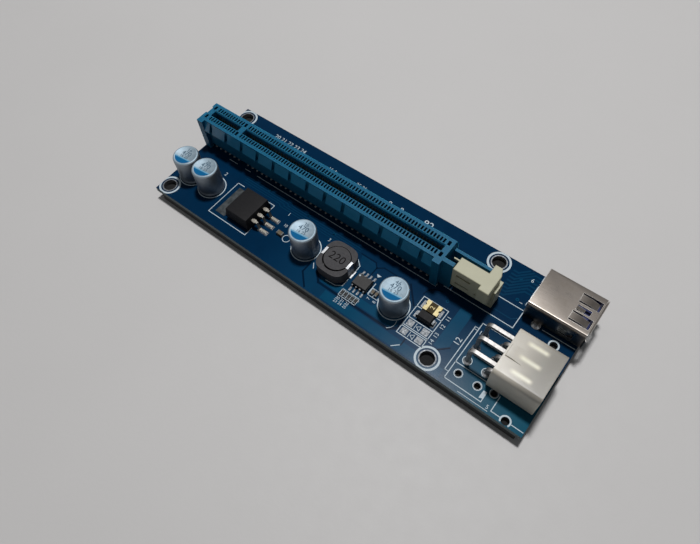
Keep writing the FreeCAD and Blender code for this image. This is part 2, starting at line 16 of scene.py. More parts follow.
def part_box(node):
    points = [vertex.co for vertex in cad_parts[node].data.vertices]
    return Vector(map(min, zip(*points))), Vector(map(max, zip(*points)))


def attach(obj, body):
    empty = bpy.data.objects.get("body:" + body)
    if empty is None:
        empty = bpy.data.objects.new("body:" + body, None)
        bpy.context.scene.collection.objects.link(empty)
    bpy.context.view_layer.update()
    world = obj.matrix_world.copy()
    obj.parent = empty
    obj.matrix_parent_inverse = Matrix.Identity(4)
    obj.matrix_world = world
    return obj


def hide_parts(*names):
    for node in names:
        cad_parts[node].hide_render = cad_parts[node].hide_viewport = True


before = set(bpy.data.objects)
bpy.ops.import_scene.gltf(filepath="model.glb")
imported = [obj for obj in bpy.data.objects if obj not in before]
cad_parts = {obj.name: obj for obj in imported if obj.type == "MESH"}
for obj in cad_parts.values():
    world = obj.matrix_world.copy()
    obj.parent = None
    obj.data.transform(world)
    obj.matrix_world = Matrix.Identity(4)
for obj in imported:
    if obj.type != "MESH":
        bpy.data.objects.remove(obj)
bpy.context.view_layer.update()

bl_info = {
    "name": "Riser card looks",
    "version": (1, 0, 0),
    "blender": (4, 5, 0),
    "location": "View3D > Sidebar > Riser card",
    "description": "Dresses the packed riser card with its finishes, print, copper and solder",
    "category": "Object",
}

MM = 0.001
BOARD_LOW, BOARD_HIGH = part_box("pcb")
ORIGIN = Vector((BOARD_LOW.x, BOARD_LOW.y, BOARD_HIGH.z))
BOARD_LENGTH = (BOARD_HIGH.x - BOARD_LOW.x) / MM
BOARD_WIDTH = (BOARD_HIGH.y - BOARD_LOW.y) / MM
FLAT_ANGLE = math.radians(0.5)
CREASE = math.radians(32)

# layers on the board's top face, as low and high in millimetres
POUR = (0.0, 0.018)
TRACK = (0.0, 0.03)
GAP = (0.0, 0.024)
PRINT = (0.0, 0.045)
PAD = (0.0, 0.04)
HAIR = 0.003            # lifts every other run, so that two tops never coincide
FONT_SIZE = 1.42        # gives a numeral its stated height
FINE_LINE = 0.66        # of the width of a full printed line

# places on the board, in millimetres from its near left corner
SCREW_HOLES = [(x, y) for x in (2.95, 99.25) for y in (3.3, 38.7)]
HEADER_ROWS = (107.65, 113.1)
HEADER_PINS = (4.6, 8.8, 13.0, 17.2)    # the first of each row stays empty
SPARE_HOLE = (117.35, 5.4)
REGULATOR_PITCH = 2.54
CHIP_PITCH = 1.27
CAN_TURN = 6                            # of the marks on the cans, in degrees
CAN_SUNK = 0.07                         # depth of a can's top below its rim
USB_LEGS = (116.5, 40.65)               # along the board, and the far leg across it
FAR_WALL = 3.72                         # from the slot's middle to its far face
BOSS_DROP = 3.2
CONTACT_PITCH = 1.0
NEAR_CONTACTS, FAR_CONTACTS = 11, 71    # before and after the slot's key


# ---- measures ----
def board_box(node):
    """A node's lowest and highest corner in board millimetres."""
    low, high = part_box(node)
    return (low - ORIGIN) / MM, (high - ORIGIN) / MM


def middle_of(node):
    low, high = board_box(node)
    return (low + high) / 2


def shade(red, green, blue):
    """Screen values from 0 to 255 as the linear colour that shaders take."""
    def linear(value):
        value /= 255
        return value / 12.92 if value <= 0.04045 else ((value + 0.055) / 1.055) ** 2.4
    return (linear(red), linear(green), linear(blue))


def toned(colour, change):
    """A colour made darker or lighter."""
    return tuple(c * change for c in colour)


# ---- shapes ----
def bar(bm, low, high):
    low, high = Vector(low), Vector(high)
    place = Matrix.LocRotScale((low + high) / 2, None, high - low)
    bmesh.ops.create_cube(bm, size=1, matrix=place)


def dash(bm, start, end, width, layer):
    """A straight line on the board, squared off half a width past each end."""
    start, end = Vector(start), Vector(end)
    run = end - start
    middle = (start + end) / 2
    low, high = layer
    place = Matrix.LocRotScale((middle.x, middle.y, (low + high) / 2),
                               Euler((0, 0, math.atan2(run.y, run.x))),
                               (run.length + width, width, high - low))
    bmesh.ops.create_cube(bm, size=1, matrix=place)


def trail(bm, points, width, layer):
    """Joined straight runs, every other one a hair higher."""
    low, high = layer
    for index, (start, end) in enumerate(zip(points, points[1:])):
        dash(bm, start, end, width, (low, high + HAIR * (index % 2)))


def patch(bm, points, layer):
    """A flat shape of any outline, raised between two heights."""
    low, high = layer
    face = bm.faces.new([bm.verts.new((x, y, low)) for x, y in points])
    made = bmesh.ops.extrude_face_region(bm, geom=[face])["geom"]
    verts = [v for v in made if isinstance(v, bmesh.types.BMVert)]
    bmesh.ops.translate(bm, vec=(0, 0, high - low), verts=verts)


def turned(bm, profile, x, y, steps=48):
    """A profile of radius and height, spun about an upright line."""
    verts = [bm.verts.new((x + radius, y, z)) for radius, z in profile]
    edges = [bm.edges.new(pair) for pair in zip(verts, verts[1:])]
    bmesh.ops.spin(bm, geom=verts + edges, cent=(x, y, 0), axis=(0, 0, 1),
                   angle=2 * math.pi, steps=steps, use_merge=True)


def ring(bm, x, y, inner, outer, layer, start=0.0, sweep=360.0, steps=40):
    """A flat ring, or an arc of one, spun from its section."""
    low, high = layer
    turn = math.radians(start)
    section = ((inner, low), (outer, low), (outer, high), (inner, high))
    verts = [bm.verts.new((x + r * math.cos(turn), y + r * math.sin(turn), z))
             for r, z in section]
    edges = [bm.edges.new(pair) for pair in zip(verts, verts[1:] + verts[:1])]
    whole = sweep == 360
    bmesh.ops.spin(bm, geom=verts + edges, cent=(x, y, 0), axis=(0, 0, 1),
                   angle=math.radians(sweep), steps=steps, use_merge=whole)
    if not whole:
        open_edges = [e for e in bm.edges if e.is_boundary]
        bmesh.ops.holes_fill(bm, edges=open_edges, sides=4)


def disc(bm, x, y, radius, layer, steps=24):
    low, high = layer
    turned(bm, [(0, low), (radius, low), (radius, high), (0, high)], x, y, steps)


def fillet(bm, x, y, foot, neck, height, low=0.0, steps=20):
    """A solder fillet that climbs a pin: wide at the board and thin at the top."""
    profile = [(0, low), (foot, low), (foot * 0.93, low + height * 0.10),
               (neck + (foot - neck) * 0.45, low + height * 0.38),
               (neck + (foot - neck) * 0.15, low + height * 0.70),
               (neck, low + height), (0, low + height)]
    turned(bm, profile, x, y, steps)


def trimmed(bm, margin=0.06):
    """Cuts away what would hang over the board's edges, and closes the cuts."""
    for co, no in (((margin, 0, 0), (-1, 0, 0)), ((0, margin, 0), (0, -1, 0)),
                   ((BOARD_LENGTH - margin, 0, 0), (1, 0, 0)),
                   ((0, BOARD_WIDTH - margin, 0), (0, 1, 0))):
        geom = bm.verts[:] + bm.edges[:] + bm.faces[:]
        bmesh.ops.bisect_plane(bm, geom=geom, plane_co=co, plane_no=no, clear_outer=True)
        bmesh.ops.holes_fill(bm, edges=[e for e in bm.edges if e.is_boundary], sides=0)


def numeral(bm, text, x, y, z, size, turn=0.0, thick=0.02):
    """Plain numbers, as ink or as a moulded mark."""
    curve = bpy.data.curves.new("numeral", "FONT")
    curve.body = text
    curve.size = size * FONT_SIZE
    curve.align_x = "CENTER"
    curve.align_y = "CENTER"
    curve.extrude = thick / 2
    curve.resolution_u = 3
    holder = bpy.data.objects.new("numeral", curve)
    mesh = bpy.data.meshes.new_from_object(holder)
    bpy.data.objects.remove(holder)
    bpy.data.curves.remove(curve)
    mesh.transform(Matrix.LocRotScale((x, y, z), Euler((0, 0, math.radians(turn))), None))
    bm.from_mesh(mesh)
    bpy.data.meshes.remove(mesh)


# ---- finishing a piece ----
def set_creases(bm, angle=CREASE):
    for face in bm.faces:
        face.smooth = True
    for edge in bm.edges:
        if len(edge.link_faces) == 2:
            edge.smooth = edge.calc_face_angle(0) < angle
        else:
            edge.smooth = False


def rounded(piece, width, segments):
    """A fine rounding on every sharp edge of a piece, in millimetres."""
    bevel = piece.modifiers.new("edge rounding", "BEVEL")
    bevel.width = width * MM
    bevel.segments = segments
    bevel.limit_method = "ANGLE"
    bevel.angle_limit = math.radians(30)
    bevel.harden_normals = True
    return piece


def settle(mesh, name, materials, body, nodes=()):
    """Makes a mesh a piece. A shared finish may be given by its name."""
    piece = bpy.data.objects.new(name, mesh)
    bpy.context.scene.collection.objects.link(piece)
    for material in materials if isinstance(materials, (list, tuple)) else [materials]:
        mesh.materials.append(bpy.data.materials[material] if isinstance(material, str)
                              else material)
    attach(piece, body)
    if nodes:
        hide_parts(*nodes)
    return piece


def placed(bm, name, materials, body="board", nodes=(), crease=CREASE,
           edge=0.0, segments=2):
    """Moves a mesh from board millimetres to the row frame and makes it a piece."""
    bmesh.ops.remove_doubles(bm, verts=bm.verts, dist=0.0004)
    bmesh.ops.recalc_face_normals(bm, faces=bm.faces)
    bm.transform(Matrix.Translation(ORIGIN) @ Matrix.Scale(MM, 4))
    bm.normal_update()
    set_creases(bm, crease)
    mesh = bpy.data.meshes.new(name)
    bm.to_mesh(mesh)
    bm.free()
    piece = settle(mesh, name, materials, body, nodes)
    return rounded(piece, edge, segments) if edge else piece


def copied(node):
    """A node's shape, merged and cleared of the flat edges between its triangles."""
    bm = bmesh.new()
    bm.from_mesh(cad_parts[node].data)
    bmesh.ops.remove_doubles(bm, verts=bm.verts, dist=1e-6)
    bmesh.ops.dissolve_limit(bm, angle_limit=FLAT_ANGLE, verts=bm.verts, edges=bm.edges)
    return bm


def dressed(node, name, materials, edge=0.0, segments=2, body="board", sort=None,
            shape=None):
    """A piece in a node's place: its own shape with fine rounded edges."""
    bm = copied(node)
    if shape:
        shape(bm)
    bm.normal_update()
    if sort:
        for face in bm.faces:
            face.material_index = sort(face)
    set_creases(bm)
    mesh = bpy.data.meshes.new(name)
    bm.to_mesh(mesh)
    bm.free()
    piece = settle(mesh, name, materials, body, [node])
    return rounded(piece, edge, segments) if edge else piece


def coated(node, material):
    """A node whose shape is right keeps it and only takes its finish."""
    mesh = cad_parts[node].data
    mesh.materials.clear()
    mesh.materials.append(material)


# ---- shader effects ----
EFFECTS = {}


def add_node(tree, kind, inputs=None, **settings):
    """A new node. Each input takes another node's output, or a plain value."""
    made = tree.nodes.new("ShaderNode" + kind)
    for label, value in settings.items():
        setattr(made, label, value)
    for label, value in (inputs or {}).items():
        if hasattr(value, "is_output"):
            tree.links.new(value, made.inputs[label])
        else:
            made.inputs[label].default_value = value
    return made


def maths(tree, operation, first, second=0.0):
    return add_node(tree, "Math", {0: first, 1: second}, operation=operation).outputs[0]


def mixed(tree, share, first, second, **settings):
    """The second colour over the first, by a mask."""
    return add_node(tree, "Mix", {"Factor": share, "A": first, "B": second},
                    data_type="RGBA", **settings).outputs["Result"]


def noise_at(tree, size, detail=4.0, stretch=(1, 1, 1)):
    """Noise on the piece's own coordinates, its features about one size across."""
    place = add_node(tree, "TexCoord").outputs["Object"]
    mapping = add_node(tree, "Mapping", {"Vector": place, "Scale": stretch})
    return add_node(tree, "TexNoise", {"Vector": mapping.outputs[0], "Detail": detail,
                                       "Scale": maths(tree, "DIVIDE", 1 / MM, size),
                                       "Roughness": 0.55}).outputs["Fac"]


def along(tree, axis):
    """A piece's own X, Y or Z as a distance in board millimetres."""
    place = add_node(tree, "TexCoord").outputs["Object"]
    parts = add_node(tree, "SeparateXYZ", {0: place})
    from_origin = maths(tree, "SUBTRACT", parts.outputs["XYZ"[axis]], ORIGIN[axis])
    return maths(tree, "DIVIDE", from_origin, MM)


def ramped(tree, value, start, end):
    """Rises softly from 0 to 1 between two values, or falls where start is the larger."""
    low, high = sorted((start, end))
    return add_node(tree, "MapRange", {"Value": value, "From Min": low, "From Max": high,
                                       "To Min": float(start > end),
                                       "To Max": float(start < end)},
                    interpolation_type="SMOOTHSTEP").outputs["Result"]


def effect(name, **inputs):
    """An empty node group with its inputs: a number, or four for a colour."""
    tree = EFFECTS[name] = bpy.data.node_groups.new(name, "ShaderNodeTree")
    for label, value in inputs.items():
        kind = "NodeSocketFloat" if isinstance(value, float) else "NodeSocketColor"
        socket = tree.interface.new_socket(label.replace("_", " "), in_out="INPUT",
                                           socket_type=kind)
        socket.default_value = value
    return tree, tree.nodes.new("NodeGroupInput").outputs


def give_out(tree, **results):
    """Gives an effect its outputs."""
    for label, value in results.items():
        kind = "NodeSocketColor" if value.type == "RGBA" else "NodeSocketFloat"
        tree.interface.new_socket(label, in_out="OUTPUT", socket_type=kind)
    end = tree.nodes.new("NodeGroupOutput")
    for label, value in results.items():
        tree.links.new(value, end.inputs[label])


def make_mottle():
    """Colour that drifts between two tones over the surface."""
    tree, given = effect("Mottle", Colour=(0.5, 0.5, 0.5, 1), Second=(0.4, 0.4, 0.4, 1),
                         Size=3.0, Contrast=2.0)
    centred = maths(tree, "SUBTRACT", noise_at(tree, given["Size"]), 0.5)
    share = maths(tree, "ADD", maths(tree, "MULTIPLY", centred, given["Contrast"]), 0.5)
    give_out(tree, Colour=mixed(tree, share, given["Colour"], given["Second"],
                                clamp_factor=True))


def make_smudge():
    """Roughness that changes where a surface has been handled."""
    tree, given = effect("Smudge", Roughness=0.4, Spread=0.1, Size=4.0)
    centred = maths(tree, "SUBTRACT", noise_at(tree, given["Size"], 6), 0.5)
    swing = maths(tree, "MULTIPLY", maths(tree, "MULTIPLY", centred, given["Spread"]), 2.0)
    give_out(tree, Roughness=maths(tree, "ADD", swing, given["Roughness"]))


def make_grain():
    """Fine height for a bump: two sizes of noise together."""
    tree, given = effect("Grain", Size=0.1)
    wide = noise_at(tree, maths(tree, "MULTIPLY", given["Size"], 7.0), 2)
    give_out(tree, Height=maths(tree, "ADD", noise_at(tree, given["Size"], 3),
                                maths(tree, "MULTIPLY", wide, 0.5)))


def make_brush():
    """Long fine scratches along the board, as height for a bump."""
    tree, given = effect("Brushed", Size=0.2)
    give_out(tree, Height=noise_at(tree, given["Size"], 3, stretch=(0.06, 1, 1)))


def make_wear_and_highlight():
    """A mask that is high on rounded edges, broken up by noise, for lighter edges: edge wear,
    and on some finishes a painted highlight.
    """
    tree, given = effect("Edge wear", Radius=0.15, Break_up=1.5)
    radius = maths(tree, "MULTIPLY", given["Radius"], MM)
    bevel = add_node(tree, "Bevel", {"Radius": radius}, samples=4)
    surface = add_node(tree, "NewGeometry")
    dot = add_node(tree, "VectorMath", {0: bevel.outputs["Normal"],
                                        1: surface.outputs["Normal"]},
                   operation="DOT_PRODUCT")
    bend = maths(tree, "SUBTRACT", 1.0, dot.outputs["Value"])
    strong = maths(tree, "MULTIPLY", bend, 6.0)
    patchy = maths(tree, "MULTIPLY", strong, noise_at(tree, given["Break up"], 5))
    give_out(tree, Mask=add_node(tree, "Clamp", {"Value": patchy}).outputs[0])


def make_painted_show_through():
    """Painted light and shade on the header: pale bars where the pins would show through the
    lit nylon, and a painted shade that darkens its upper part towards the front.
    """
    tree, given = effect("Painted show-through", Middle=13.0, Pitch=4.2, Top=9.6)
    x, y, z = (along(tree, axis) for axis in range(3))
    turns = maths(tree, "DIVIDE", maths(tree, "SUBTRACT", y, given["Middle"]), given["Pitch"])
    wave = maths(tree, "COSINE", maths(tree, "MULTIPLY", turns, 2 * math.pi))
    crest = maths(tree, "POWER", maths(tree, "MAXIMUM", wave, 0.0), 2.5)
    length = maths(tree, "MULTIPLY", ramped(tree, x, 117.2, 118.8),
                   ramped(tree, x, 123.7, 122.3))
    from_top = maths(tree, "SUBTRACT", z, given["Top"])
    give_out(tree, Bars=maths(tree, "MULTIPLY", maths(tree, "MULTIPLY", crest, length),
                              ramped(tree, from_top, -0.5, -0.1)),
             Front=maths(tree, "MULTIPLY", ramped(tree, x, 116.0, 125.5),
                         ramped(tree, from_top, -2.4, -0.2)))


def make_painted_glare():
    """Painted glare: a share that rises along the board and towards the near side, where the
    mask is made lighter to stand in for the light's reflection on it.
    """
    tree, given = effect("Painted glare", Start=36.0, Reach=34.0)
    run = maths(tree, "DIVIDE", maths(tree, "SUBTRACT", along(tree, 0), given["Start"]),
                given["Reach"])
    give_out(tree, Share=maths(tree, "MULTIPLY", ramped(tree, run, 0.0, 1.0),
                               ramped(tree, along(tree, 1), 22.0, 9.0)))


def place_effect(tree, name, **values):
    return add_node(tree, "Group", values, node_tree=EFFECTS[name])


def finish_made(name, colour, second=None, roughness=0.4, metallic=0.0, mottle=3.0,
                contrast=2.0, smudge=(0.08, 4.0), grain=(0.1, 0.02), wear_and_highlight=None,
                brushed=False, overlays=(), specular=0.5, settings=None):
    """One surface: drifting colour, handled roughness, fine relief and lighter edges, which on
    the slot, the USB shell and the ferrite are a painted highlight.

    Each overlay is an effect, its mask output, the colour that the mask brings and
    the values that the effect takes.
    """
    material = bpy.data.materials.new(name)
    material.use_nodes = True
    tree = material.node_tree
    shader = tree.nodes["Principled BSDF"]
    second = second or toned(colour, 0.82)
    surface = place_effect(tree, "Mottle", Colour=(*colour, 1), Second=(*second, 1),
                           Size=mottle, Contrast=contrast).outputs["Colour"]
    masks = [(place_effect(tree, label, **values).outputs[output], over)
             for label, output, over, values in overlays]
    if wear_and_highlight:
        edge_colour, radius = wear_and_highlight
        masks.append((place_effect(tree, "Edge wear", Radius=radius).outputs["Mask"], edge_colour))
    for mask, over in masks:
        surface = mixed(tree, mask, surface, (*over, 1))
    handled = place_effect(tree, "Smudge", Roughness=roughness, Spread=smudge[0],
                           Size=smudge[1])
    relief = place_effect(tree, "Brushed" if brushed else "Grain", Size=grain[0])
    bump = add_node(tree, "Bump", {"Height": relief.outputs["Height"], "Strength": 1.0,
                                   "Distance": grain[1] * MM})
    for label, value in (("Base Color", surface), ("Normal", bump.outputs["Normal"]),
                         ("Roughness", handled.outputs["Roughness"])):
        tree.links.new(value, shader.inputs[label])
    plain = {"Metallic": metallic, "Specular IOR Level": specular, **(settings or {})}
    for label, value in plain.items():
        shader.inputs[label].default_value = value
    return material


# ---- what a user may change ----
def colour_choice(name, description, *default):
    """A colour setting, its default in screen values."""
    return FloatVectorProperty(name=name, description=description, subtype="COLOR", size=3,
                               min=0, max=1, default=shade(*default))


def size_choice(name, description, default, low, high):
    return FloatProperty(name=name, description=description, default=default, min=low,
                         max=high)


class RiserBoardSettings(PropertyGroup):
    mask: colour_choice("Mask colour", "Solder mask over bare laminate", 3, 36, 63)
    mask_pour: colour_choice("Mask over copper", "Mask where copper lies under it", 7, 66, 96)
    # painted glare: the next two mask colours lighten the mask towards the near side and at the
    # plug end, standing in for the light's reflection
    mask_painted_glare: colour_choice("Mask in painted glare", "Mask lighter by painted glare", 8, 50, 80)
    mask_end_painted_glare: colour_choice("Mask by the header", "Mask at the plug end", 20, 76, 97)
    mask_gap: colour_choice("Mask in gaps", "Mask between two pours", 2, 27, 50)
    mask_track: colour_choice("Mask over tracks", "Mask over thin tracks", 8, 53, 82)
    sheen: size_choice("Sheen", "How strongly the mask mirrors", 0.032, 0, 1)
    ink: colour_choice("Print colour", "White component print", 186, 200, 208)
    line: size_choice("Print line", "Width of a printed line, in mm", 0.22, 0.1, 1)
    track: size_choice("Track", "Width of a signal track, in mm", 0.35, 0.1, 1)


class RiserPlasticSettings(PropertyGroup):
    slot: colour_choice("Slot", "Card slot moulding", 22, 96, 129)
    latch: colour_choice("Latch", "Card latch moulding", 178, 176, 152)
    socket: colour_choice("USB moulding", "Moulding in the USB socket", 20, 36, 96)
    header: colour_choice("Power header", "Natural nylon", 209, 203, 191)
    edge: size_choice("Edge", "Rounding of moulded edges, in mm", 0.05, 0.01, 0.2)


class RiserCanSettings(PropertyGroup):
    stripe: colour_choice("Polarity mark", "Blue mark on each can", 10, 90, 138)
    steps: IntProperty(name="Steps", description="Facets round each can", default=64,
                       min=16, max=128)


class RiserStageSettings(PropertyGroup):
    floor: colour_choice("Floor", "Plain floor colour", 192, 190, 189)
    key: size_choice("Key level", "Light that the key gives a flat surface", 0.82, 0, 3)
    sky: size_choice("Sky level", "Even light from all round", 0.12, 0, 3)


# ---- board ----
class RISER_OT_finishes(Operator):
    """Makes the shader effects and the finishes that several pieces share"""
    bl_idname = "riser.finishes"
    bl_label = "Shared finishes"

    def execute(self, context):
        for make in (make_mottle, make_smudge, make_grain, make_brush, make_wear_and_highlight,
                     make_painted_show_through, make_painted_glare):
            make()
        finish_made("Bright tin", shade(176, 177, 178), shade(140, 142, 146), 0.38, 1.0,
                    mottle=0.8, smudge=(0.14, 0.7), grain=(0.25, 0.02))
        finish_made("Solder pad", shade(126, 129, 132), shade(96, 100, 104), 0.58, 1.0,
                    mottle=0.6, contrast=3.0, smudge=(0.16, 0.6), grain=(0.3, 0.05))
        finish_made("White print", context.scene.riser_board.ink, None, 0.6,
                    mottle=0.35, contrast=3.0, grain=(0.12, 0.01))
        finish_made("Black epoxy", shade(25, 24, 26), shade(19, 19, 21), 0.6,
                    mottle=0.5, grain=(0.07, 0.012), smudge=(0.12, 2.0),
                    wear_and_highlight=(shade(56, 56, 58), 0.12), specular=0.18)
        return {"FINISHED"}


def edge_or_face(face):
    """Which finish a face of the board takes: mask, laminate edge or plated wall."""
    if abs(face.normal.z) > 0.5:
        return 0
    middle = (face.calc_center_median() - ORIGIN) / MM
    inside = 0.02 < middle.x < BOARD_LENGTH - 0.02 and 0.02 < middle.y < BOARD_WIDTH - 0.02
    return 2 if inside else 1


class RISER_OT_board(Operator):
    """Board with its mask, laminate edge and plated holes"""
    bl_idname = "riser.board"
    bl_label = "Circuit board"

    def execute(self, context):
        look = context.scene.riser_board
        # painted glare: lighter mask past x=40 and again at the plug end, towards the near side
        glare_overlays = [("Painted glare", "Share", look.mask_painted_glare, {"Start": 40.0, "Reach": 20.0}),
                  ("Painted glare", "Share", look.mask_end_painted_glare, {"Start": 98.0, "Reach": 22.0})]
        mask, pour, track, gap = [
            finish_made(name, colour, toned(colour, change), 0.2, mottle=mottle,
                        smudge=smudge, grain=grain, overlays=overlays, specular=look.sheen)
            for name, colour, change, mottle, smudge, grain, overlays in (
                ("Blue mask", look.mask, 1.22, 5.0, (0.05, 6.0), (0.45, 0.004), glare_overlays),
                ("Blue mask on copper", look.mask_pour, 0.86, 4.0, (0.05, 6.0),
                 (0.3, 0.004), ()),
                ("Blue mask on tracks", look.mask_track, 0.9, 3.0, (0.08, 4.0),
                 (0.3, 0.004), ()),
                ("Blue mask in gaps", look.mask_gap, 0.82, 2.0, (0.08, 4.0),
                 (0.4, 0.003), ()))]
        laminate = finish_made("Laminate edge", shade(92, 104, 104), shade(60, 72, 76), 0.75,
                               mottle=0.35, contrast=4.0, grain=(0.12, 0.04))
        dressed("pcb", "board_laminate", [mask, laminate, "Bright tin"],
                sort=edge_or_face)
        self.pours(pour)
        self.tracks(track, look.track)
        self.gaps(gap)
        self.rings()
        return {"FINISHED"}

    def pours(self, material):
        bm = bmesh.new()
        x, y = SCREW_HOLES[2]
        notch = [(x + 2.38 * math.cos(turn), y + 2.38 * math.sin(turn))
                 for turn in [-math.pi * step / 14 for step in range(15)]]
        patch(bm, [(66.0, 0.45), (104.2, 0.45), (104.2, y), *notch, (66.0, y)], POUR)
        patch(bm, [(61.2, 6.9), (63.2, 4.7), (86.1, 4.7), (87.7, 6.0), (87.7, 8.4),
                   (80.0, 8.4), (79.0, 6.9)], POUR)
        patch(bm, [(98.4, 20.4), (98.4, 7.2), (99.9, 7.2), (102.0, 9.2), (102.0, 20.4)], POUR)
        placed(bm, "copper_pours", material)

    def tracks(self, material, width):
        bm = bmesh.new()
        patch(bm, [(57.5, 4.3), (60.9, 0.45), (66.0, 0.45), (66.0, 3.3), (62.5, 3.3),
                   (59.6, 6.2), (57.5, 6.2)], POUR)
        patch(bm, [(67.3, 18.2), (68.6, 14.9), (73.0, 14.9), (73.0, 17.1), (71.8, 18.2)], POUR)
        for step in range(8):
            y = 30.4 + 1.2 * step
            bend = min(4.2, 41.0 - y)
            points = [(103.9, y), (105.2, y), (105.2 + bend, y + bend)]
            if bend == 4.2:
                points.append((111.2, y + bend))
            trail(bm, points, width * 1.6, TRACK)
        for step in range(5):
            y = 17.4 + 0.75 * step
            trail(bm, [(21.0, y + 0.6), (36.0 + step, y + 0.6), (36.6 + step, y), (66.0, y)],
                  width * 0.7, TRACK)
        trail(bm, [(105, 25.4), (110.5, 25.4), (111.7, 26.5)], width, TRACK)
        trail(bm, [(105, 22.9), (113.6, 22.9)], width, TRACK)
        placed(bm, "copper_tracks", material)

    def gaps(self, material):
        bm = bmesh.new()
        trail(bm, [(57.0, 7.2), (57.0, 4.1), (60.5, 0.6)], 0.5, GAP)
        trail(bm, [(60.3, 6.5), (62.8, 4.0), (86.4, 4.0), (88.3, 5.5), (88.4, 8.2)], 0.7, GAP)
        trail(bm, [(73.1, 14.7), (73.1, 17.1), (74.8, 18.4), (79.0, 18.4)], 0.35, GAP)
        trail(bm, [(66.9, 18.5), (71.9, 18.5), (73.1, 17.2)], 0.35, GAP)
        trail(bm, [(83.7, 18.5), (88.0, 13.6)], 0.5, GAP)
        trail(bm, [(102.3, 9.0), (99.9, 6.7)], 0.4, GAP)
        trail(bm, [(91.8, 2.3), (91.8, 4.4)], 0.35, GAP)
        ring(bm, 92.1, 17.6, 3.9, 4.2, GAP, 92, 84, 14)
        placed(bm, "mask_gaps", material)

    def rings(self):
        """Tinned rings round the screw holes and the bare holes of the header."""
        bm = bmesh.new()
        for x, y in SCREW_HOLES:
            ring(bm, x, y, 2.02, 2.34, PAD, steps=56)
        for x, y in [(x, y) for x in HEADER_ROWS for y in HEADER_PINS] + [SPARE_HOLE]:
            ring(bm, x, y, 0.87, 1.02, PAD, steps=28)
        placed(bm, "plated_rings", "Solder pad")
        bm = bmesh.new()
        for x, y in ((85.5, 5.4), (64.5, 5.7), (78.0, 5.8), (81.6, 5.6), (90.4, 1.6),
                     (46.0, 20.0), (30.0, 20.2), (56.3, 19.2), (94.5, 20.0), (100.4, 12.0),
                     (106.6, 37.6), (109.0, 31.4), (104.5, 25.6)):
            ring(bm, x, y, 0.22, 0.5, TRACK, steps=16)
        for step in range(6):
            ring(bm, 105.0 + 2 * step, 1.0, 0.14, 0.34, TRACK, steps=14)
        placed(bm, "vias", "Blue mask on copper")


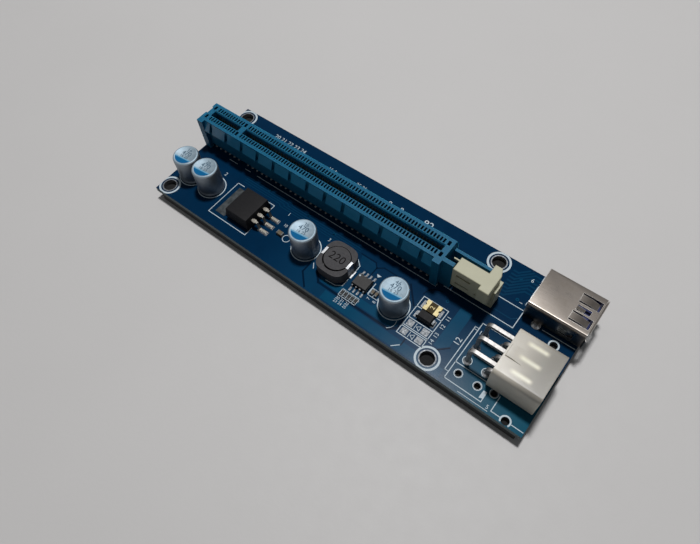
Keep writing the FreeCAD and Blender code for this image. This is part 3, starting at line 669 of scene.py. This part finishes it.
class RISER_OT_print(Operator):
    """White component outlines and plain numbers printed on the board"""
    bl_idname = "riser.print"
    bl_label = "Component print"

    def execute(self, context):
        look = context.scene.riser_board
        bm = bmesh.new()
        for points in self.outlines():
            trail(bm, points, look.line, PRINT)
        for points in self.fine_lines():
            trail(bm, points, look.line * FINE_LINE, PRINT)
        for x, y, inner, outer, start, sweep in self.arcs():
            ring(bm, x, y, inner, outer, PRINT, start, sweep, max(8, int(abs(sweep) / 8)))
        patch(bm, [(74.35, 15.7), (75.85, 15.7), (75.1, 14.85)], PRINT)
        patch(bm, [(114.8, 2.3), (115.9, 2.7), (115.9, 4.6), (114.9, 4.6)], PRINT)
        trimmed(bm)
        placed(bm, "print_lines", "White print")
        bm = bmesh.new()
        z = PRINT[1] - 0.012
        for text, x, y, size, turn in (
                ("12", 102.95, 11.8, 1.7, 90), ("11", 97.6, 15.7, 1.15, 90),
                ("12", 97.6, 12.8, 1.15, 90), ("13", 97.6, 9.9, 1.15, 90),
                ("14", 97.6, 7.6, 1.15, 90),
                ("20 21 22 23 24", 22.6, 38.2, 1.5, 0), ("82", 76.4, 37.6, 2.4, 0),
                ("8", 62.8, 37.5, 1.6, 0), ("8", 67.0, 37.5, 1.6, 0),
                ("16 4", 40.6, 37.6, 1.2, 0), ("25 26", 52.0, 37.6, 1.2, 0),
                ("2", 14.4, 16.8, 1.3, 0),
                ("1", 41.0, 16.7, 1.1, 0), ("3", 56.5, 16.7, 1.1, 0),
                ("10", 42.8, 13.0, 0.95, 0), ("6", 109.5, 38.8, 1.2, 0),
                ("5", 117.7, 1.5, 1.1, 0), ("1", 106.3, 17.3, 1.2, 0),
                ("20 21 22", 71.7, 3.3, 0.85, 0), ("23 24 25", 71.7, 2.2, 0.85, 0),
                ("7", 77.0, 8.1, 0.9, 90), ("8", 78.9, 8.1, 0.9, 90)):
            numeral(bm, text, x, y, z, size, turn)
        placed(bm, "print_numbers", "White print")
        return {"FINISHED"}

    def outlines(self):
        """The corners of each full line, from part to part along the board."""
        return [
            [(20.1, 16.5), (20.1, 3.4), (35.2, 3.4), (35.2, 6.4)],
            [(20.1, 16.5), (22.6, 16.5)], [(32.6, 16.5), (35.2, 16.5), (35.2, 14.3)],
            [(67.2, 16.3), (69.0, 14.8), (69.0, 12.8)],
            [(68.9, 9.5), (68.9, 7.1), (67.2, 6.0), (64.0, 5.75)], [(57.8, 8.0), (58.8, 6.6)],
            [(75.9, 9.3), (75.9, 12.9)],
            [(88.7, 17.6), (88.7, 4.7), (96.4, 4.7), (96.4, 17.6), (88.7, 17.6)],
            [(88.7, 14.1), (96.4, 14.1)], [(88.7, 10.2), (96.4, 10.2)],
            [(88.7, 7.15), (96.4, 7.15)], [(88.7, 7.65), (96.4, 7.65)],
            [(89.9, 0.6), (91.5, 2.1)],
            [(104.3, 3.6), (104.3, 18.1)],
            [(105.4, 1.7), (105.4, 20.0), (114.4, 20.0)], [(105.4, 6.9), (114.4, 6.9)],
            [(105.4, 1.7), (115.8, 1.7), (115.8, 2.8)],
            [(118.9, 5.6), (118.9, 1.2), (121.3, 1.2)], [(124.5, 1.2), (127.5, 1.2)],
            [(23.0, 22.0), (89.3, 22.0), (89.3, 22.8)], [(11.0, 22.0), (14.3, 22.0)],
            [(18.0, 22.0), (20.0, 22.0)], [(89.2, 27.2), (89.2, 25.1), (91.2, 25.1)],
            [(103.9, 29.4), (111.8, 29.4)], [(91.2, 23.4), (112.1, 23.4), (112.1, 28.7)],
            [(111.6, 33.8), (111.6, 38.0)], [(111.6, 40.0), (111.6, 41.6)],
            [(118.5, 27.4), (127.5, 27.4)]]

    def fine_lines(self):
        """Thinner lines: ticks, tables of boxes and the diodes' signs."""
        lines = [[(104.3, 18.1), (105.2, 18.1)], [(104.3, 17.4), (105.2, 17.4)],
                 [(104.3, 3.6), (105.2, 3.6)], [(110.0, 0.6), (118.2, 0.6)],
                 [(111.5, 31.2), (111.5, 32.2)], [(109.9, 31.0), (110.6, 31.0)],
                 [(76.1, 11.4), (79.2, 11.4), (79.2, 9.0), (76.1, 9.0), (76.1, 11.4)],
                 [(77.6, 11.4), (77.6, 9.0)]]
        for x in [69.55 + 1.13 * i for i in range(6)]:
            lines.append([(x, 4.2), (x, 6.45)])
        lines += [[(69.55, 4.2), (75.2, 4.2)], [(69.55, 6.45), (75.2, 6.45)]]
        for y in (8.9, 5.95):
            lines += [[(91.8, y - 0.85), (91.8, y + 0.85)],
                      [(93.2, y + 0.75), (92.15, y), (93.2, y - 0.75), (93.2, y + 0.75)]]
        return lines

    def arcs(self):
        """Rings and arcs: place, inner and outer radius, first angle and sweep."""
        arcs = [(x, y, 4.22, 4.52, 0, 360) for x, y in
                [middle_of("capacitor_can_%d" % n).xy for n in (1, 2, 3, 4)]]
        arcs += [(x, y, 2.82, 3.42, 0, 360) for x, y in SCREW_HOLES]
        arcs += [(122.85, 1.15, 1.08, 1.49, -37, 254), (122.8, 25.2, 1.08, 1.49, 0, 360)]
        arcs += [(x, HEADER_PINS[0], 1.04, 1.2, 0, 360) for x in HEADER_ROWS]
        arcs += [(x, HEADER_PINS[1], 1.12, 1.3, 0, 360) for x in HEADER_ROWS]
        arcs += [(*SPARE_HOLE, 1.04, 1.2, 0, 360)]
        arcs += [(84.6, 6.2, 2.52, 2.68, -60, 95), (46.0, 9.6, 1.05, 1.25, 0, 360)]
        return arcs


class RISER_OT_foam(Operator):
    """Black foam pad under the board"""
    bl_idname = "riser.foam"
    bl_label = "Foam pad"

    def execute(self, context):
        foam = finish_made("Black foam", shade(16, 17, 18), shade(8, 9, 10), 0.9,
                           mottle=0.5, contrast=4.0, grain=(0.28, 0.16))
        dressed("foam_pad", "foam_pad_soft", foam, edge=0.35, segments=3,
                shape=self.slightly_in)
        low, high = board_box("foam_pad")
        bm = bmesh.new()
        for x, y in SCREW_HOLES:
            disc(bm, x, y, 2.3, (low.z + 0.05, high.z - 0.02), 40)
        placed(bm, "foam_under_holes", foam)
        return {"FINISHED"}

    def slightly_in(self, bm):
        """Brings the pad's sides in a hair, so that its rounding stays under the board."""
        bmesh.ops.scale(bm, vec=(0.9995, 0.9995, 1), verts=bm.verts)


# ---- card slot ----
class RISER_OT_slot(Operator):
    """Card slot moulding, its contacts and the solder at their feet"""
    bl_idname = "riser.slot"
    bl_label = "Card slot"

    def execute(self, context):
        look = context.scene.riser_plastic
        # the lighter edge colour is a painted highlight on the slot's rims
        plastic = finish_made("Slot plastic", look.slot, toned(look.slot, 0.9),
                              0.38, mottle=6.0, smudge=(0.08, 5.0), grain=(0.12, 0.008),
                              wear_and_highlight=(shade(62, 120, 148), 0.12), specular=0.12,
                              settings={"Subsurface Weight": 0.5,
                                        "Subsurface Radius": (0.2, 0.7, 0.9),
                                        "Subsurface Scale": 1.4 * MM})
        # painted light: the sloping pads take a lighter copy of the slot plastic, as if lit
        painted_lit_pads = finish_made("Slot pads painted lit", tuple(c * 2.1 + 0.008 for c in look.slot),
                              toned(look.slot, 1.75),
                              0.34, mottle=4.0, grain=(0.12, 0.008),
                              specular=0.4)
        dressed("slot_housing", "slot_moulding", [plastic, painted_lit_pads],
                edge=look.edge, segments=2, sort=self.wall_or_painted_lit_pad, shape=self.low_far_bosses)
        # painted shade: the gold contacts take a dull grey so that the deep slot channel and
        # the USB windows read dark
        shaded_contact = finish_made("Contact metal in painted shade", shade(104, 108, 102), shade(76, 82, 82), 0.6,
                           1.0, mottle=1.0, grain=(0.2, 0.006))
        for node in ("slot_contacts_near", "slot_contacts_far"):
            coated(node, shaded_contact)
        self.solder()
        return {"FINISHED"}

    def solder(self):
        """A small fillet at every other contact tail, outside both walls."""
        key = 2 * CONTACT_PITCH
        bm = bmesh.new()
        for side, node in ((-1, "slot_contacts_near"), (1, "slot_contacts_far")):
            low, high = board_box(node)
            row = low.y + 0.15 if side < 0 else high.y - 0.15
            places = [low.x + 0.2 + CONTACT_PITCH * i + (key if i >= NEAR_CONTACTS else 0)
                      for i in range(NEAR_CONTACTS + FAR_CONTACTS)]
            for x in places[::2]:
                fillet(bm, x, row, 0.42, 0.22, 0.4, steps=12)
        placed(bm, "slot_solder", "Solder pad")

    def wall_or_painted_lit_pad(self, face):
        """The pads along the walls are the only faces that slope at this angle; they take a
        lighter copy of the plastic, a painted light.
        """
        return int(abs(face.normal.y) > 0.85 and 0.3 < face.normal.z < 0.5)

    def low_far_bosses(self, bm):
        """The far wall's end bosses slope away from its top edge, out of sight from above."""
        wall = ORIGIN.y + (middle_of("slot_housing").y + FAR_WALL) * MM
        bmesh.ops.bisect_plane(bm, geom=bm.verts[:] + bm.edges[:] + bm.faces[:],
                               plane_co=(0, wall, 0), plane_no=(0, 1, 0))
        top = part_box("slot_housing")[1].z
        for vert in bm.verts:
            if vert.co.y > wall + MM and vert.co.z > top - 0.1 * MM:
                vert.co.z -= BOSS_DROP * MM


class RISER_OT_latch(Operator):
    """Sliding card latch"""
    bl_idname = "riser.latch"
    bl_label = "Card latch"

    def execute(self, context):
        look = context.scene.riser_plastic
        plastic = finish_made("Latch plastic", look.latch, toned(look.latch, 0.93),
                              0.45, mottle=3.0, grain=(0.1, 0.008),
                              specular=0.3)
        dressed("slot_latch", "latch_moulding", plastic, edge=0.08,
                segments=2, body="latch")
        bm = bmesh.new()
        bar(bm, (94.8, 23.08, 3.52), (99.2, 24.8, 5.22))
        placed(bm, "latch_guide_end", plastic, body="latch")
        return {"FINISHED"}


# ---- sockets ----
class RISER_OT_usb_socket(Operator):
    """USB socket: folded shell, blue moulding, contacts and soldered legs"""
    bl_idname = "riser.usb_socket"
    bl_label = "USB socket"

    def execute(self, context):
        look = context.scene.riser_plastic
        # the bright edge colour is a painted highlight along the folds of the shell
        sheet = finish_made("Tinned sheet", shade(134, 127, 121), shade(106, 100, 94), 0.3,
                            1.0, mottle=2.5, contrast=3.0, smudge=(0.1, 2.5),
                            grain=(0.25, 0.004), wear_and_highlight=(shade(232, 229, 224), 0.22),
                            brushed=True)
        dressed("usb_shell", "usb_shell_sheet", sheet, edge=0.05)
        plastic = finish_made("USB moulding", look.socket, None, 0.36, mottle=3.0,
                              grain=(0.12, 0.006))
        dressed("usb_insulator", "usb_moulding", plastic, edge=0.08)
        for node in ("usb_flat_contacts", "usb_spring_contacts"):
            coated(node, bpy.data.materials["Contact metal in painted shade"])
        bm = bmesh.new()
        x, far = USB_LEGS
        for y in (board_box("usb_shell")[0].y + 0.15, far):
            turned(bm, [(0, 0), (1.28, 0), (1.18, 0.12), (0.8, 0.42), (0.4, 0.62), (0, 0.66)],
                   x, y, 28)
        placed(bm, "usb_leg_solder", "Bright tin")
        return {"FINISHED"}


class RISER_OT_power_header(Operator):
    """Power header: nylon shroud, bent pins and their solder"""
    bl_idname = "riser.power_header"
    bl_label = "Power header"

    def execute(self, context):
        look = context.scene.riser_plastic
        # painted shade darkens the top of the header towards the front, and painted light makes
        # pale bars where the pins would show through the nylon
        painted_shade_colour = toned(look.header, 0.46)
        nylon = finish_made("Natural nylon", look.header, toned(look.header, 0.92),
                            0.36, mottle=2.5, contrast=3.0, smudge=(0.08, 4.0),
                            grain=(0.35, 0.01), overlays=[("Painted show-through", "Front", painted_shade_colour, {}),
                                                          ("Painted show-through", "Bars",
                                                           shade(250, 244, 222), {})],
                            settings={"Subsurface Weight": 0.6,
                                      "Subsurface Radius": (1.0, 0.95, 0.85),
                                      "Subsurface Scale": 1.2 * MM,
                                      "Transmission Weight": 0.15})
        dressed("power_housing", "power_moulding", nylon, edge=0.12, segments=3)
        pin = finish_made("Tinned pin", shade(168, 166, 163), shade(140, 138, 137), 0.5, 1.0,
                          mottle=0.9, contrast=3.0, grain=(0.2, 0.012))
        dressed("power_pins_upper", "power_pins_long", pin, edge=0.1)
        dressed("power_pins_lower", "power_pins_short", pin, edge=0.1)
        bm = bmesh.new()
        for x in HEADER_ROWS:
            for y in HEADER_PINS[1:]:
                fillet(bm, x, y, 1.15, 0.62, 0.55, steps=28)
        placed(bm, "header_solder", "Bright tin")
        return {"FINISHED"}


# ---- parts on the board ----
class RISER_OT_capacitors(Operator):
    """Four aluminium can capacitors with their polarity marks"""
    bl_idname = "riser.capacitors"
    bl_label = "Can capacitors"

    def execute(self, context):
        look = context.scene.riser_can
        wall = finish_made("Can aluminium", shade(148, 156, 163), shade(128, 136, 144), 0.46,
                           1.0, mottle=3.0, smudge=(0.08, 3.0), grain=(0.16, 0.004),
                           brushed=True)
        cap = finish_made("Can top", shade(156, 171, 181), shade(128, 146, 158), 0.62, 1.0,
                          mottle=1.4, smudge=(0.08, 3.0), grain=(0.16, 0.006))
        stripe = finish_made("Can mark", look.stripe, shade(8, 96, 146), 0.7, mottle=1.0,
                             grain=(0.1, 0.004), specular=0.08)
        pale = finish_made("Can mark edge", shade(96, 158, 190), None, 0.6, mottle=1.0,
                           grain=(0.1, 0.004))
        ink = finish_made("Can ink", shade(60, 88, 108), None, 0.7, mottle=0.5,
                          specular=0.1)
        for number in (1, 2, 3, 4):
            self.can(number, look.steps, [wall, cap])
            self.marks(number, stripe, pale, ink)
        return {"FINISHED"}

    def can(self, number, steps, finishes):
        """A can with its rolled groove near the foot and its sunk top."""
        node = "capacitor_can_%d" % number
        low, high = board_box(node)
        centre, top = (low + high) / 2, high.z
        radius = (high.x - low.x) / 2
        profile = [(0, 0), (radius - 0.25, 0), (radius - 0.05, 0.12), (radius, 0.3),
                   (radius, 0.7), (radius - 0.1, 0.95), (radius - 0.12, 1.1),
                   (radius - 0.1, 1.25), (radius, 1.5), (radius, top - 0.62),
                   (radius - 0.05, top - 0.38), (radius - 0.18, top - 0.16),
                   (radius - 0.38, top - 0.03), (radius - 0.55, top),
                   (radius - 0.66, top - 0.02), (radius - 0.74, top - CAN_SUNK),
                   (0, top - CAN_SUNK)]
        bm = bmesh.new()
        turned(bm, profile, centre.x, centre.y, steps)
        for face in bm.faces:
            face.material_index = int(face.calc_center_median().z > top - 0.1)
        placed(bm, "capacitor_body_%d" % number, finishes,
               nodes=[node], crease=math.radians(60))

    def marks(self, number, stripe, pale, ink):
        """The polarity mark with its pale edge, and three lines of plain numbers."""
        low, high = board_box("capacitor_can_%d" % number)
        centre = (low + high) / 2
        radius = (high.x - low.x) / 2 - 0.8
        face = high.z - CAN_SUNK
        for name, cut, thick, material in (("mark", -1.55, 0.02, stripe),
                                           ("mark_edge", -1.15, 0.01, pale)):
            bm = bmesh.new()
            self.segment(bm, centre, radius, cut, (face, face + thick))
            placed(bm, "capacitor_%s_%d" % (name, number), material)
        bm = bmesh.new()
        for text, ahead, size in (("%d6" % number, 2.1, 1.15), ("470", 0.65, 1.5),
                                  ("16 25", -0.65, 0.95)):
            numeral(bm, text, centre.x - 0.1 * ahead, centre.y + ahead, face + 0.005, size,
                    CAN_TURN)
        placed(bm, "capacitor_number_%d" % number, ink)

    def segment(self, bm, centre, radius, cut, layer):
        """The part of a disc on the near side of a straight line."""
        low, high = layer
        bmesh.ops.create_circle(bm, cap_ends=True, segments=64, radius=radius,
                                matrix=Matrix.Translation((centre.x, centre.y, low)))
        turn = math.radians(CAN_TURN)
        across = Vector((-math.sin(turn), math.cos(turn), 0))
        on_line = Vector((centre.x, centre.y, low)) + across * cut
        bmesh.ops.bisect_plane(bm, geom=bm.verts[:] + bm.edges[:] + bm.faces[:],
                               plane_co=on_line, plane_no=across, clear_outer=True)
        made = bmesh.ops.extrude_face_region(bm, geom=bm.faces[:])["geom"]
        verts = [v for v in made if isinstance(v, bmesh.types.BMVert)]
        bmesh.ops.translate(bm, vec=(0, 0, high - low), verts=verts)


class RISER_OT_regulator(Operator):
    """Voltage regulator on its tinned pad"""
    bl_idname = "riser.regulator"
    bl_label = "Regulator"

    def execute(self, context):
        tinned = finish_made("Tinned copper", shade(158, 154, 146), shade(126, 122, 114), 0.44,
                             1.0, mottle=1.5, smudge=(0.14, 1.5), grain=(0.3, 0.012))
        dressed("regulator_body", "regulator_package", "Black epoxy", edge=0.1)
        dull = finish_made("Dull tin", shade(78, 82, 84), shade(54, 58, 60), 0.6, 1.0,
                           mottle=1.2, contrast=3.0, smudge=(0.16, 1.5), grain=(0.3, 0.03))
        dressed("regulator_tab", "regulator_heat_tab", dull, edge=0.06)
        dressed("regulator_leads", "regulator_lead_frame", tinned, edge=0.05)
        self.pads(dull)
        self.joints(tinned)
        return {"FINISHED"}

    def pads(self, dull):
        bm = bmesh.new()
        patch(bm, [(21.7, 4.7), (25.4, 4.7), (25.4, 15.4), (21.7, 15.4)], (0, 0.09))
        placed(bm, "regulator_tab_pad", dull, edge=0.05)
        bm = bmesh.new()
        for y in (7.5, 10.05, 12.6):
            bar(bm, (36.9, y - 0.72, 0), (40.6, y + 0.72, 0.07))
        placed(bm, "regulator_pads", "Solder pad", edge=0.05)

    def joints(self, tinned):
        """The wide shoulder of each lead, and the solder over its foot."""
        middle = middle_of("regulator_leads").y
        rows = (middle - REGULATOR_PITCH, middle, middle + REGULATOR_PITCH)
        bm = bmesh.new()
        for y in rows:
            bar(bm, (35.4, y - 0.62, 2.48), (36.5, y + 0.62, 3.12))
        placed(bm, "regulator_lead_shoulders", tinned, edge=0.08)
        bm = bmesh.new()
        for y in rows:
            bar(bm, (37.2, y - 0.62, 0.02), (40.35, y + 0.62, 0.4))
        placed(bm, "regulator_solder", "Bright tin", edge=0.33,
               segments=4)


class RISER_OT_inductor(Operator):
    """Shielded power inductor with its clips and plain number"""
    bl_idname = "riser.inductor"
    bl_label = "Inductor"

    def execute(self, context):
        # the lighter edge colour is a painted highlight on the ferrite's edges
        ferrite = finish_made("Ferrite", shade(64, 63, 65), shade(48, 47, 50), 0.6,
                              mottle=0.6, grain=(0.09, 0.02), wear_and_highlight=(shade(108, 106, 108), 0.15),
                              specular=0.25)
        base = finish_made("Dark base plastic", shade(36, 34, 32), None, 0.5, mottle=2.0)
        low, high = board_box("inductor_shield")
        low.x, high.x, low.y = low.x - 0.3, high.x + 0.3, low.y - 0.3
        bm = bmesh.new()
        self.soft_ring(bm, low, high, 4.1)
        placed(bm, "inductor_shield_ring", ferrite,
               nodes=["inductor_shield"], edge=0.14)
        dressed("inductor_core", "inductor_drum", ferrite, edge=0.08)
        dressed("inductor_base", "inductor_foot", base, edge=0.04)
        dressed("inductor_clips", "inductor_terminals", "Bright tin",
                edge=0.05)
        low, high = board_box("inductor_core")
        centre = (low + high) / 2
        bm = bmesh.new()
        numeral(bm, "220", centre.x, centre.y, high.z + 0.02, 2.45, 0, thick=0.03)
        ink = finish_made("Inductor number", shade(24, 23, 24), None, 0.8, mottle=0.5,
                          specular=0.1)
        placed(bm, "inductor_number", ink)
        bm = bmesh.new()
        for x in (centre.x - 4.95, centre.x + 4.95):
            bar(bm, (x - 0.6, centre.y - 1.4, 0), (x + 0.6, centre.y + 1.4, 0.09))
        disc(bm, 66.9, 8.4, 0.4, (0, 0.25))
        placed(bm, "inductor_solder", "Solder pad", edge=0.04)
        return {"FINISHED"}

    def soft_ring(self, bm, low, high, bore, steps=96, power=3.4):
        """A ring, round inside and a soft square outside, with room for both clips."""
        centre = (low + high) / 2
        half = (high - low) / 2
        loops = []
        for i in range(steps):
            turn = 2 * math.pi * i / steps
            c, s = math.cos(turn), math.sin(turn)
            reach = (abs(c) ** power + abs(s) ** power) ** (-1 / power)
            x = half.x * reach * c
            if abs(half.y * reach * s) < 1.35:
                x = math.copysign(min(abs(x), 4.42), x)
            outer = (centre.x + x, centre.y + half.y * reach * s)
            inner = (centre.x + bore * c, centre.y + bore * s)
            loops.append([bm.verts.new((*point, z)) for point, z in
                          ((outer, low.z), (outer, high.z), (inner, high.z), (inner, low.z))])
        for a, b in zip(loops, loops[1:] + loops[:1]):
            for k in range(4):
                bm.faces.new((a[k], b[k], b[(k + 1) % 4], a[(k + 1) % 4]))


class RISER_OT_converter(Operator):
    """Step-down converter chip on its pads"""
    bl_idname = "riser.converter"
    bl_label = "Converter chip"

    def execute(self, context):
        epoxy = finish_made("Worn epoxy", shade(40, 39, 39), shade(30, 29, 30), 0.5, mottle=0.6,
                            grain=(0.07, 0.012), specular=0.25)
        dressed("converter_body", "converter_package", epoxy, edge=0.06)
        dressed("converter_leads", "converter_lead_frame", "Solder pad",
                edge=0.02)
        low, high = board_box("converter_body")
        centre = (low + high) / 2
        bm = bmesh.new()
        for x in [centre.x + (step - 1.5) * CHIP_PITCH for step in range(4)]:
            for y in (centre.y - 3.1, centre.y + 3.1):
                bar(bm, (x - 0.3, y - 0.55, 0), (x + 0.3, y + 0.55, 0.08))
            disc(bm, x + 0.25, centre.y - 4.95, 0.33, (0, 0.06), 16)
        placed(bm, "converter_pads", "Solder pad", edge=0.03)
        bm = bmesh.new()
        disc(bm, low.x + 0.75, high.y - 0.75, 0.28, (high.z - 0.03, high.z + 0.012), 20)
        placed(bm, "converter_pin_mark", "White print")
        return {"FINISHED"}


class RISER_OT_protection(Operator):
    """Resettable fuse, diode and the empty places beside them"""
    bl_idname = "riser.protection"
    bl_label = "Fuse and diode"

    def execute(self, context):
        polymer = finish_made("Fuse polymer", shade(70, 56, 20), shade(44, 36, 14), 0.6,
                              mottle=0.6, grain=(0.1, 0.01),
                              specular=0.15)
        plate = finish_made("Fuse plating", shade(178, 170, 138), shade(156, 140, 94), 0.56,
                            1.0, mottle=0.7, grain=(0.15, 0.03))
        dressed("fuse_body", "fuse_centre", polymer, edge=0.03)
        dressed("fuse_ends", "fuse_caps", plate, edge=0.04)
        dressed("diode_body", "diode_package", "Black epoxy", edge=0.06)
        dressed("diode_leads", "diode_lead_frame", "Solder pad", edge=0.02)
        bm = bmesh.new()
        for x0, x1, y0, y1 in ((89.3, 91.2, 7.95, 9.85), (93.8, 95.9, 7.95, 9.85),
                               (89.3, 91.2, 5.1, 6.85), (93.8, 95.9, 5.1, 6.85),
                               (89.5, 91.4, 11.0, 13.1), (94.2, 95.8, 11.0, 13.1),
                               (89.5, 91.6, 14.5, 16.9), (93.6, 95.7, 14.5, 16.9)):
            bar(bm, (x0, y0, 0), (x1, y1, 0.06))
        placed(bm, "block_pads", "Solder pad", edge=0.03)
        bm = bmesh.new()
        middle, top = middle_of("fuse_ends"), board_box("fuse_ends")[1].z
        numeral(bm, "2", middle.x, middle.y, top - 0.04, 1.3, 90)
        placed(bm, "fuse_number", plate)
        return {"FINISHED"}


class RISER_OT_small_chips(Operator):
    """Small resistors and ceramic capacitors with their plated ends"""
    bl_idname = "riser.small_chips"
    bl_label = "Small chips"

    def execute(self, context):
        tan = finish_made("Ceramic tan", shade(104, 92, 74), None, 0.55, mottle=0.5,
                          specular=0.2)
        black = finish_made("Resistor top", shade(28, 28, 30), None, 0.5, mottle=0.5,
                            specular=0.2)
        ends = finish_made("Chip ends", shade(104, 108, 110), shade(82, 86, 89), 0.62, 1.0,
                           mottle=0.4, contrast=3.0, grain=(0.2, 0.03))
        dressed("resistor_bodies", "resistor_tops", black, edge=0.03)
        dressed("ceramic_capacitors", "ceramic_middles", tan, edge=0.04)
        for node, name in (("resistor_ends", "resistor_caps"),
                           ("ceramic_capacitor_ends", "ceramic_caps")):
            dressed(node, name, ends, edge=0.04)
        return {"FINISHED"}


# ---- stage ----
STAGE_MIDDLE = ORIGIN + Vector((64, 21, 0)) * MM
KEY_DIRECTION, KEY_DISTANCE, KEY_SIZE = (-0.078, 0.24, 0.967), 0.9, 0.11
CAMERA_PLACE = ORIGIN + Vector((122.368, -47.027, 134.106)) * MM
CAMERA_TURN = [math.radians(a) for a in (30.7453, 2.8784, 38.0283)]
CAMERA_LENS, CAMERA_SENSOR = 28.8947, 36
FLOOR_HALF_WIDTH = 2.5
SKY_TINT = (0.93, 0.97, 1.0, 1)
SKY_LOW = (0.05, (0.45, 0.46, 0.47, 1))      # height over the horizon, and its colour
SKY_HIGH = (0.8, (0.05, 0.055, 0.06, 1))
SKY_BAND = ((0.2, 0.72), (0.64, 0.6))        # height over the horizon, and its level


def softbox(name, direction, distance, size, level):
    """A round lamp that gives a flat floor a stated share of full light."""
    direction = Vector(direction).normalized()
    lamp = bpy.data.lights.new(name, "AREA")
    lamp.shape = "DISK"
    lamp.size = size
    lamp.energy = level * math.pi ** 2 * distance ** 2 / direction.z
    holder = bpy.data.objects.new(name, lamp)
    bpy.context.scene.collection.objects.link(holder)
    holder.location = STAGE_MIDDLE + direction * distance
    holder.rotation_euler = direction.to_track_quat("Z", "Y").to_euler()


class RISER_OT_stage(Operator):
    """Plain pale floor, soft light and the camera"""
    bl_idname = "riser.stage"
    bl_label = "Stage"

    def execute(self, context):
        scene = context.scene
        look = scene.riser_stage
        self.floor(scene, look.floor)
        softbox("key", KEY_DIRECTION, KEY_DISTANCE, KEY_SIZE, look.key)
        world = bpy.data.worlds.new("sky")
        scene.world = world
        world.use_nodes = True
        self.sky(world.node_tree, look.sky)
        camera = bpy.data.cameras.new("camera")
        camera.sensor_width = CAMERA_SENSOR
        camera.lens = CAMERA_LENS
        camera.clip_start = 0.01
        holder = bpy.data.objects.new("camera", camera)
        scene.collection.objects.link(holder)
        holder.location = CAMERA_PLACE
        holder.rotation_euler = CAMERA_TURN
        scene.camera = holder
        scene.view_settings.view_transform = "Standard"
        return {"FINISHED"}

    def floor(self, scene, colour):
        bm = bmesh.new()
        bmesh.ops.create_grid(bm, x_segments=1, y_segments=1, size=FLOOR_HALF_WIDTH)
        mesh = bpy.data.meshes.new("floor")
        bm.to_mesh(mesh)
        bm.free()
        floor = bpy.data.objects.new("floor", mesh)
        scene.collection.objects.link(floor)
        mesh.materials.append(finish_made("Floor", colour, toned(colour, 0.97),
                                          0.6, mottle=60.0, grain=(1.2, 0.02)))

    def sky(self, tree, level):
        """Even light, with a pale band near the horizon that only rays of sight meet."""
        tree.nodes.clear()
        even = add_node(tree, "Background", {"Color": SKY_TINT, "Strength": level})
        place = add_node(tree, "TexCoord").outputs["Generated"]
        parts = add_node(tree, "SeparateXYZ", {0: place})
        ramp = add_node(tree, "ValToRGB", {0: parts.outputs["Z"]})
        stops = ramp.color_ramp.elements
        for stop, (height, colour) in zip(stops, (SKY_LOW, SKY_HIGH)):
            stop.position, stop.color = height, colour
        for height, grey in SKY_BAND:
            stops.new(height).color = (grey, grey * 1.01, grey * 1.02, 1)
        seen = add_node(tree, "Background", {"Color": ramp.outputs[0]})
        path = add_node(tree, "LightPath").outputs
        total = maths(tree, "ADD", path["Is Camera Ray"], path["Is Glossy Ray"])
        total = maths(tree, "ADD", total, path["Is Transmission Ray"])
        mix = add_node(tree, "MixShader", {0: total, 1: even.outputs[0], 2: seen.outputs[0]})
        add_node(tree, "OutputWorld", {"Surface": mix.outputs[0]})


STEPS = (RISER_OT_finishes, RISER_OT_board, RISER_OT_print, RISER_OT_foam, RISER_OT_slot,
         RISER_OT_latch, RISER_OT_usb_socket, RISER_OT_power_header, RISER_OT_capacitors,
         RISER_OT_regulator, RISER_OT_inductor, RISER_OT_converter, RISER_OT_protection,
         RISER_OT_small_chips, RISER_OT_stage)
GROUPS = {"riser_board": RiserBoardSettings, "riser_plastic": RiserPlasticSettings,
          "riser_can": RiserCanSettings, "riser_stage": RiserStageSettings}


class RISER_PT_panel(Panel):
    """The card's steps and what can be changed"""
    bl_idname = "RISER_PT_panel"
    bl_label = "Riser card"
    bl_space_type = "VIEW_3D"
    bl_region_type = "UI"
    bl_category = "Riser card"

    def draw(self, context):
        for name, group in GROUPS.items():
            box = self.layout.box()
            for key in group.__annotations__:
                box.prop(getattr(context.scene, name), key)
        for step in STEPS:
            self.layout.operator(step.bl_idname)


def register():
    for group in (*GROUPS.values(), *STEPS, RISER_PT_panel):
        bpy.utils.register_class(group)
    for name, group in GROUPS.items():
        setattr(bpy.types.Scene, name, PointerProperty(type=group))


def unregister():
    for name in GROUPS:
        delattr(bpy.types.Scene, name)
    for group in (RISER_PT_panel, *reversed(STEPS), *reversed(list(GROUPS.values()))):
        bpy.utils.unregister_class(group)


def main():
    register()
    for step in STEPS:
        space, name = step.bl_idname.split(".")
        getattr(getattr(bpy.ops, space), name)()


if __name__ == "__main__":
    main()
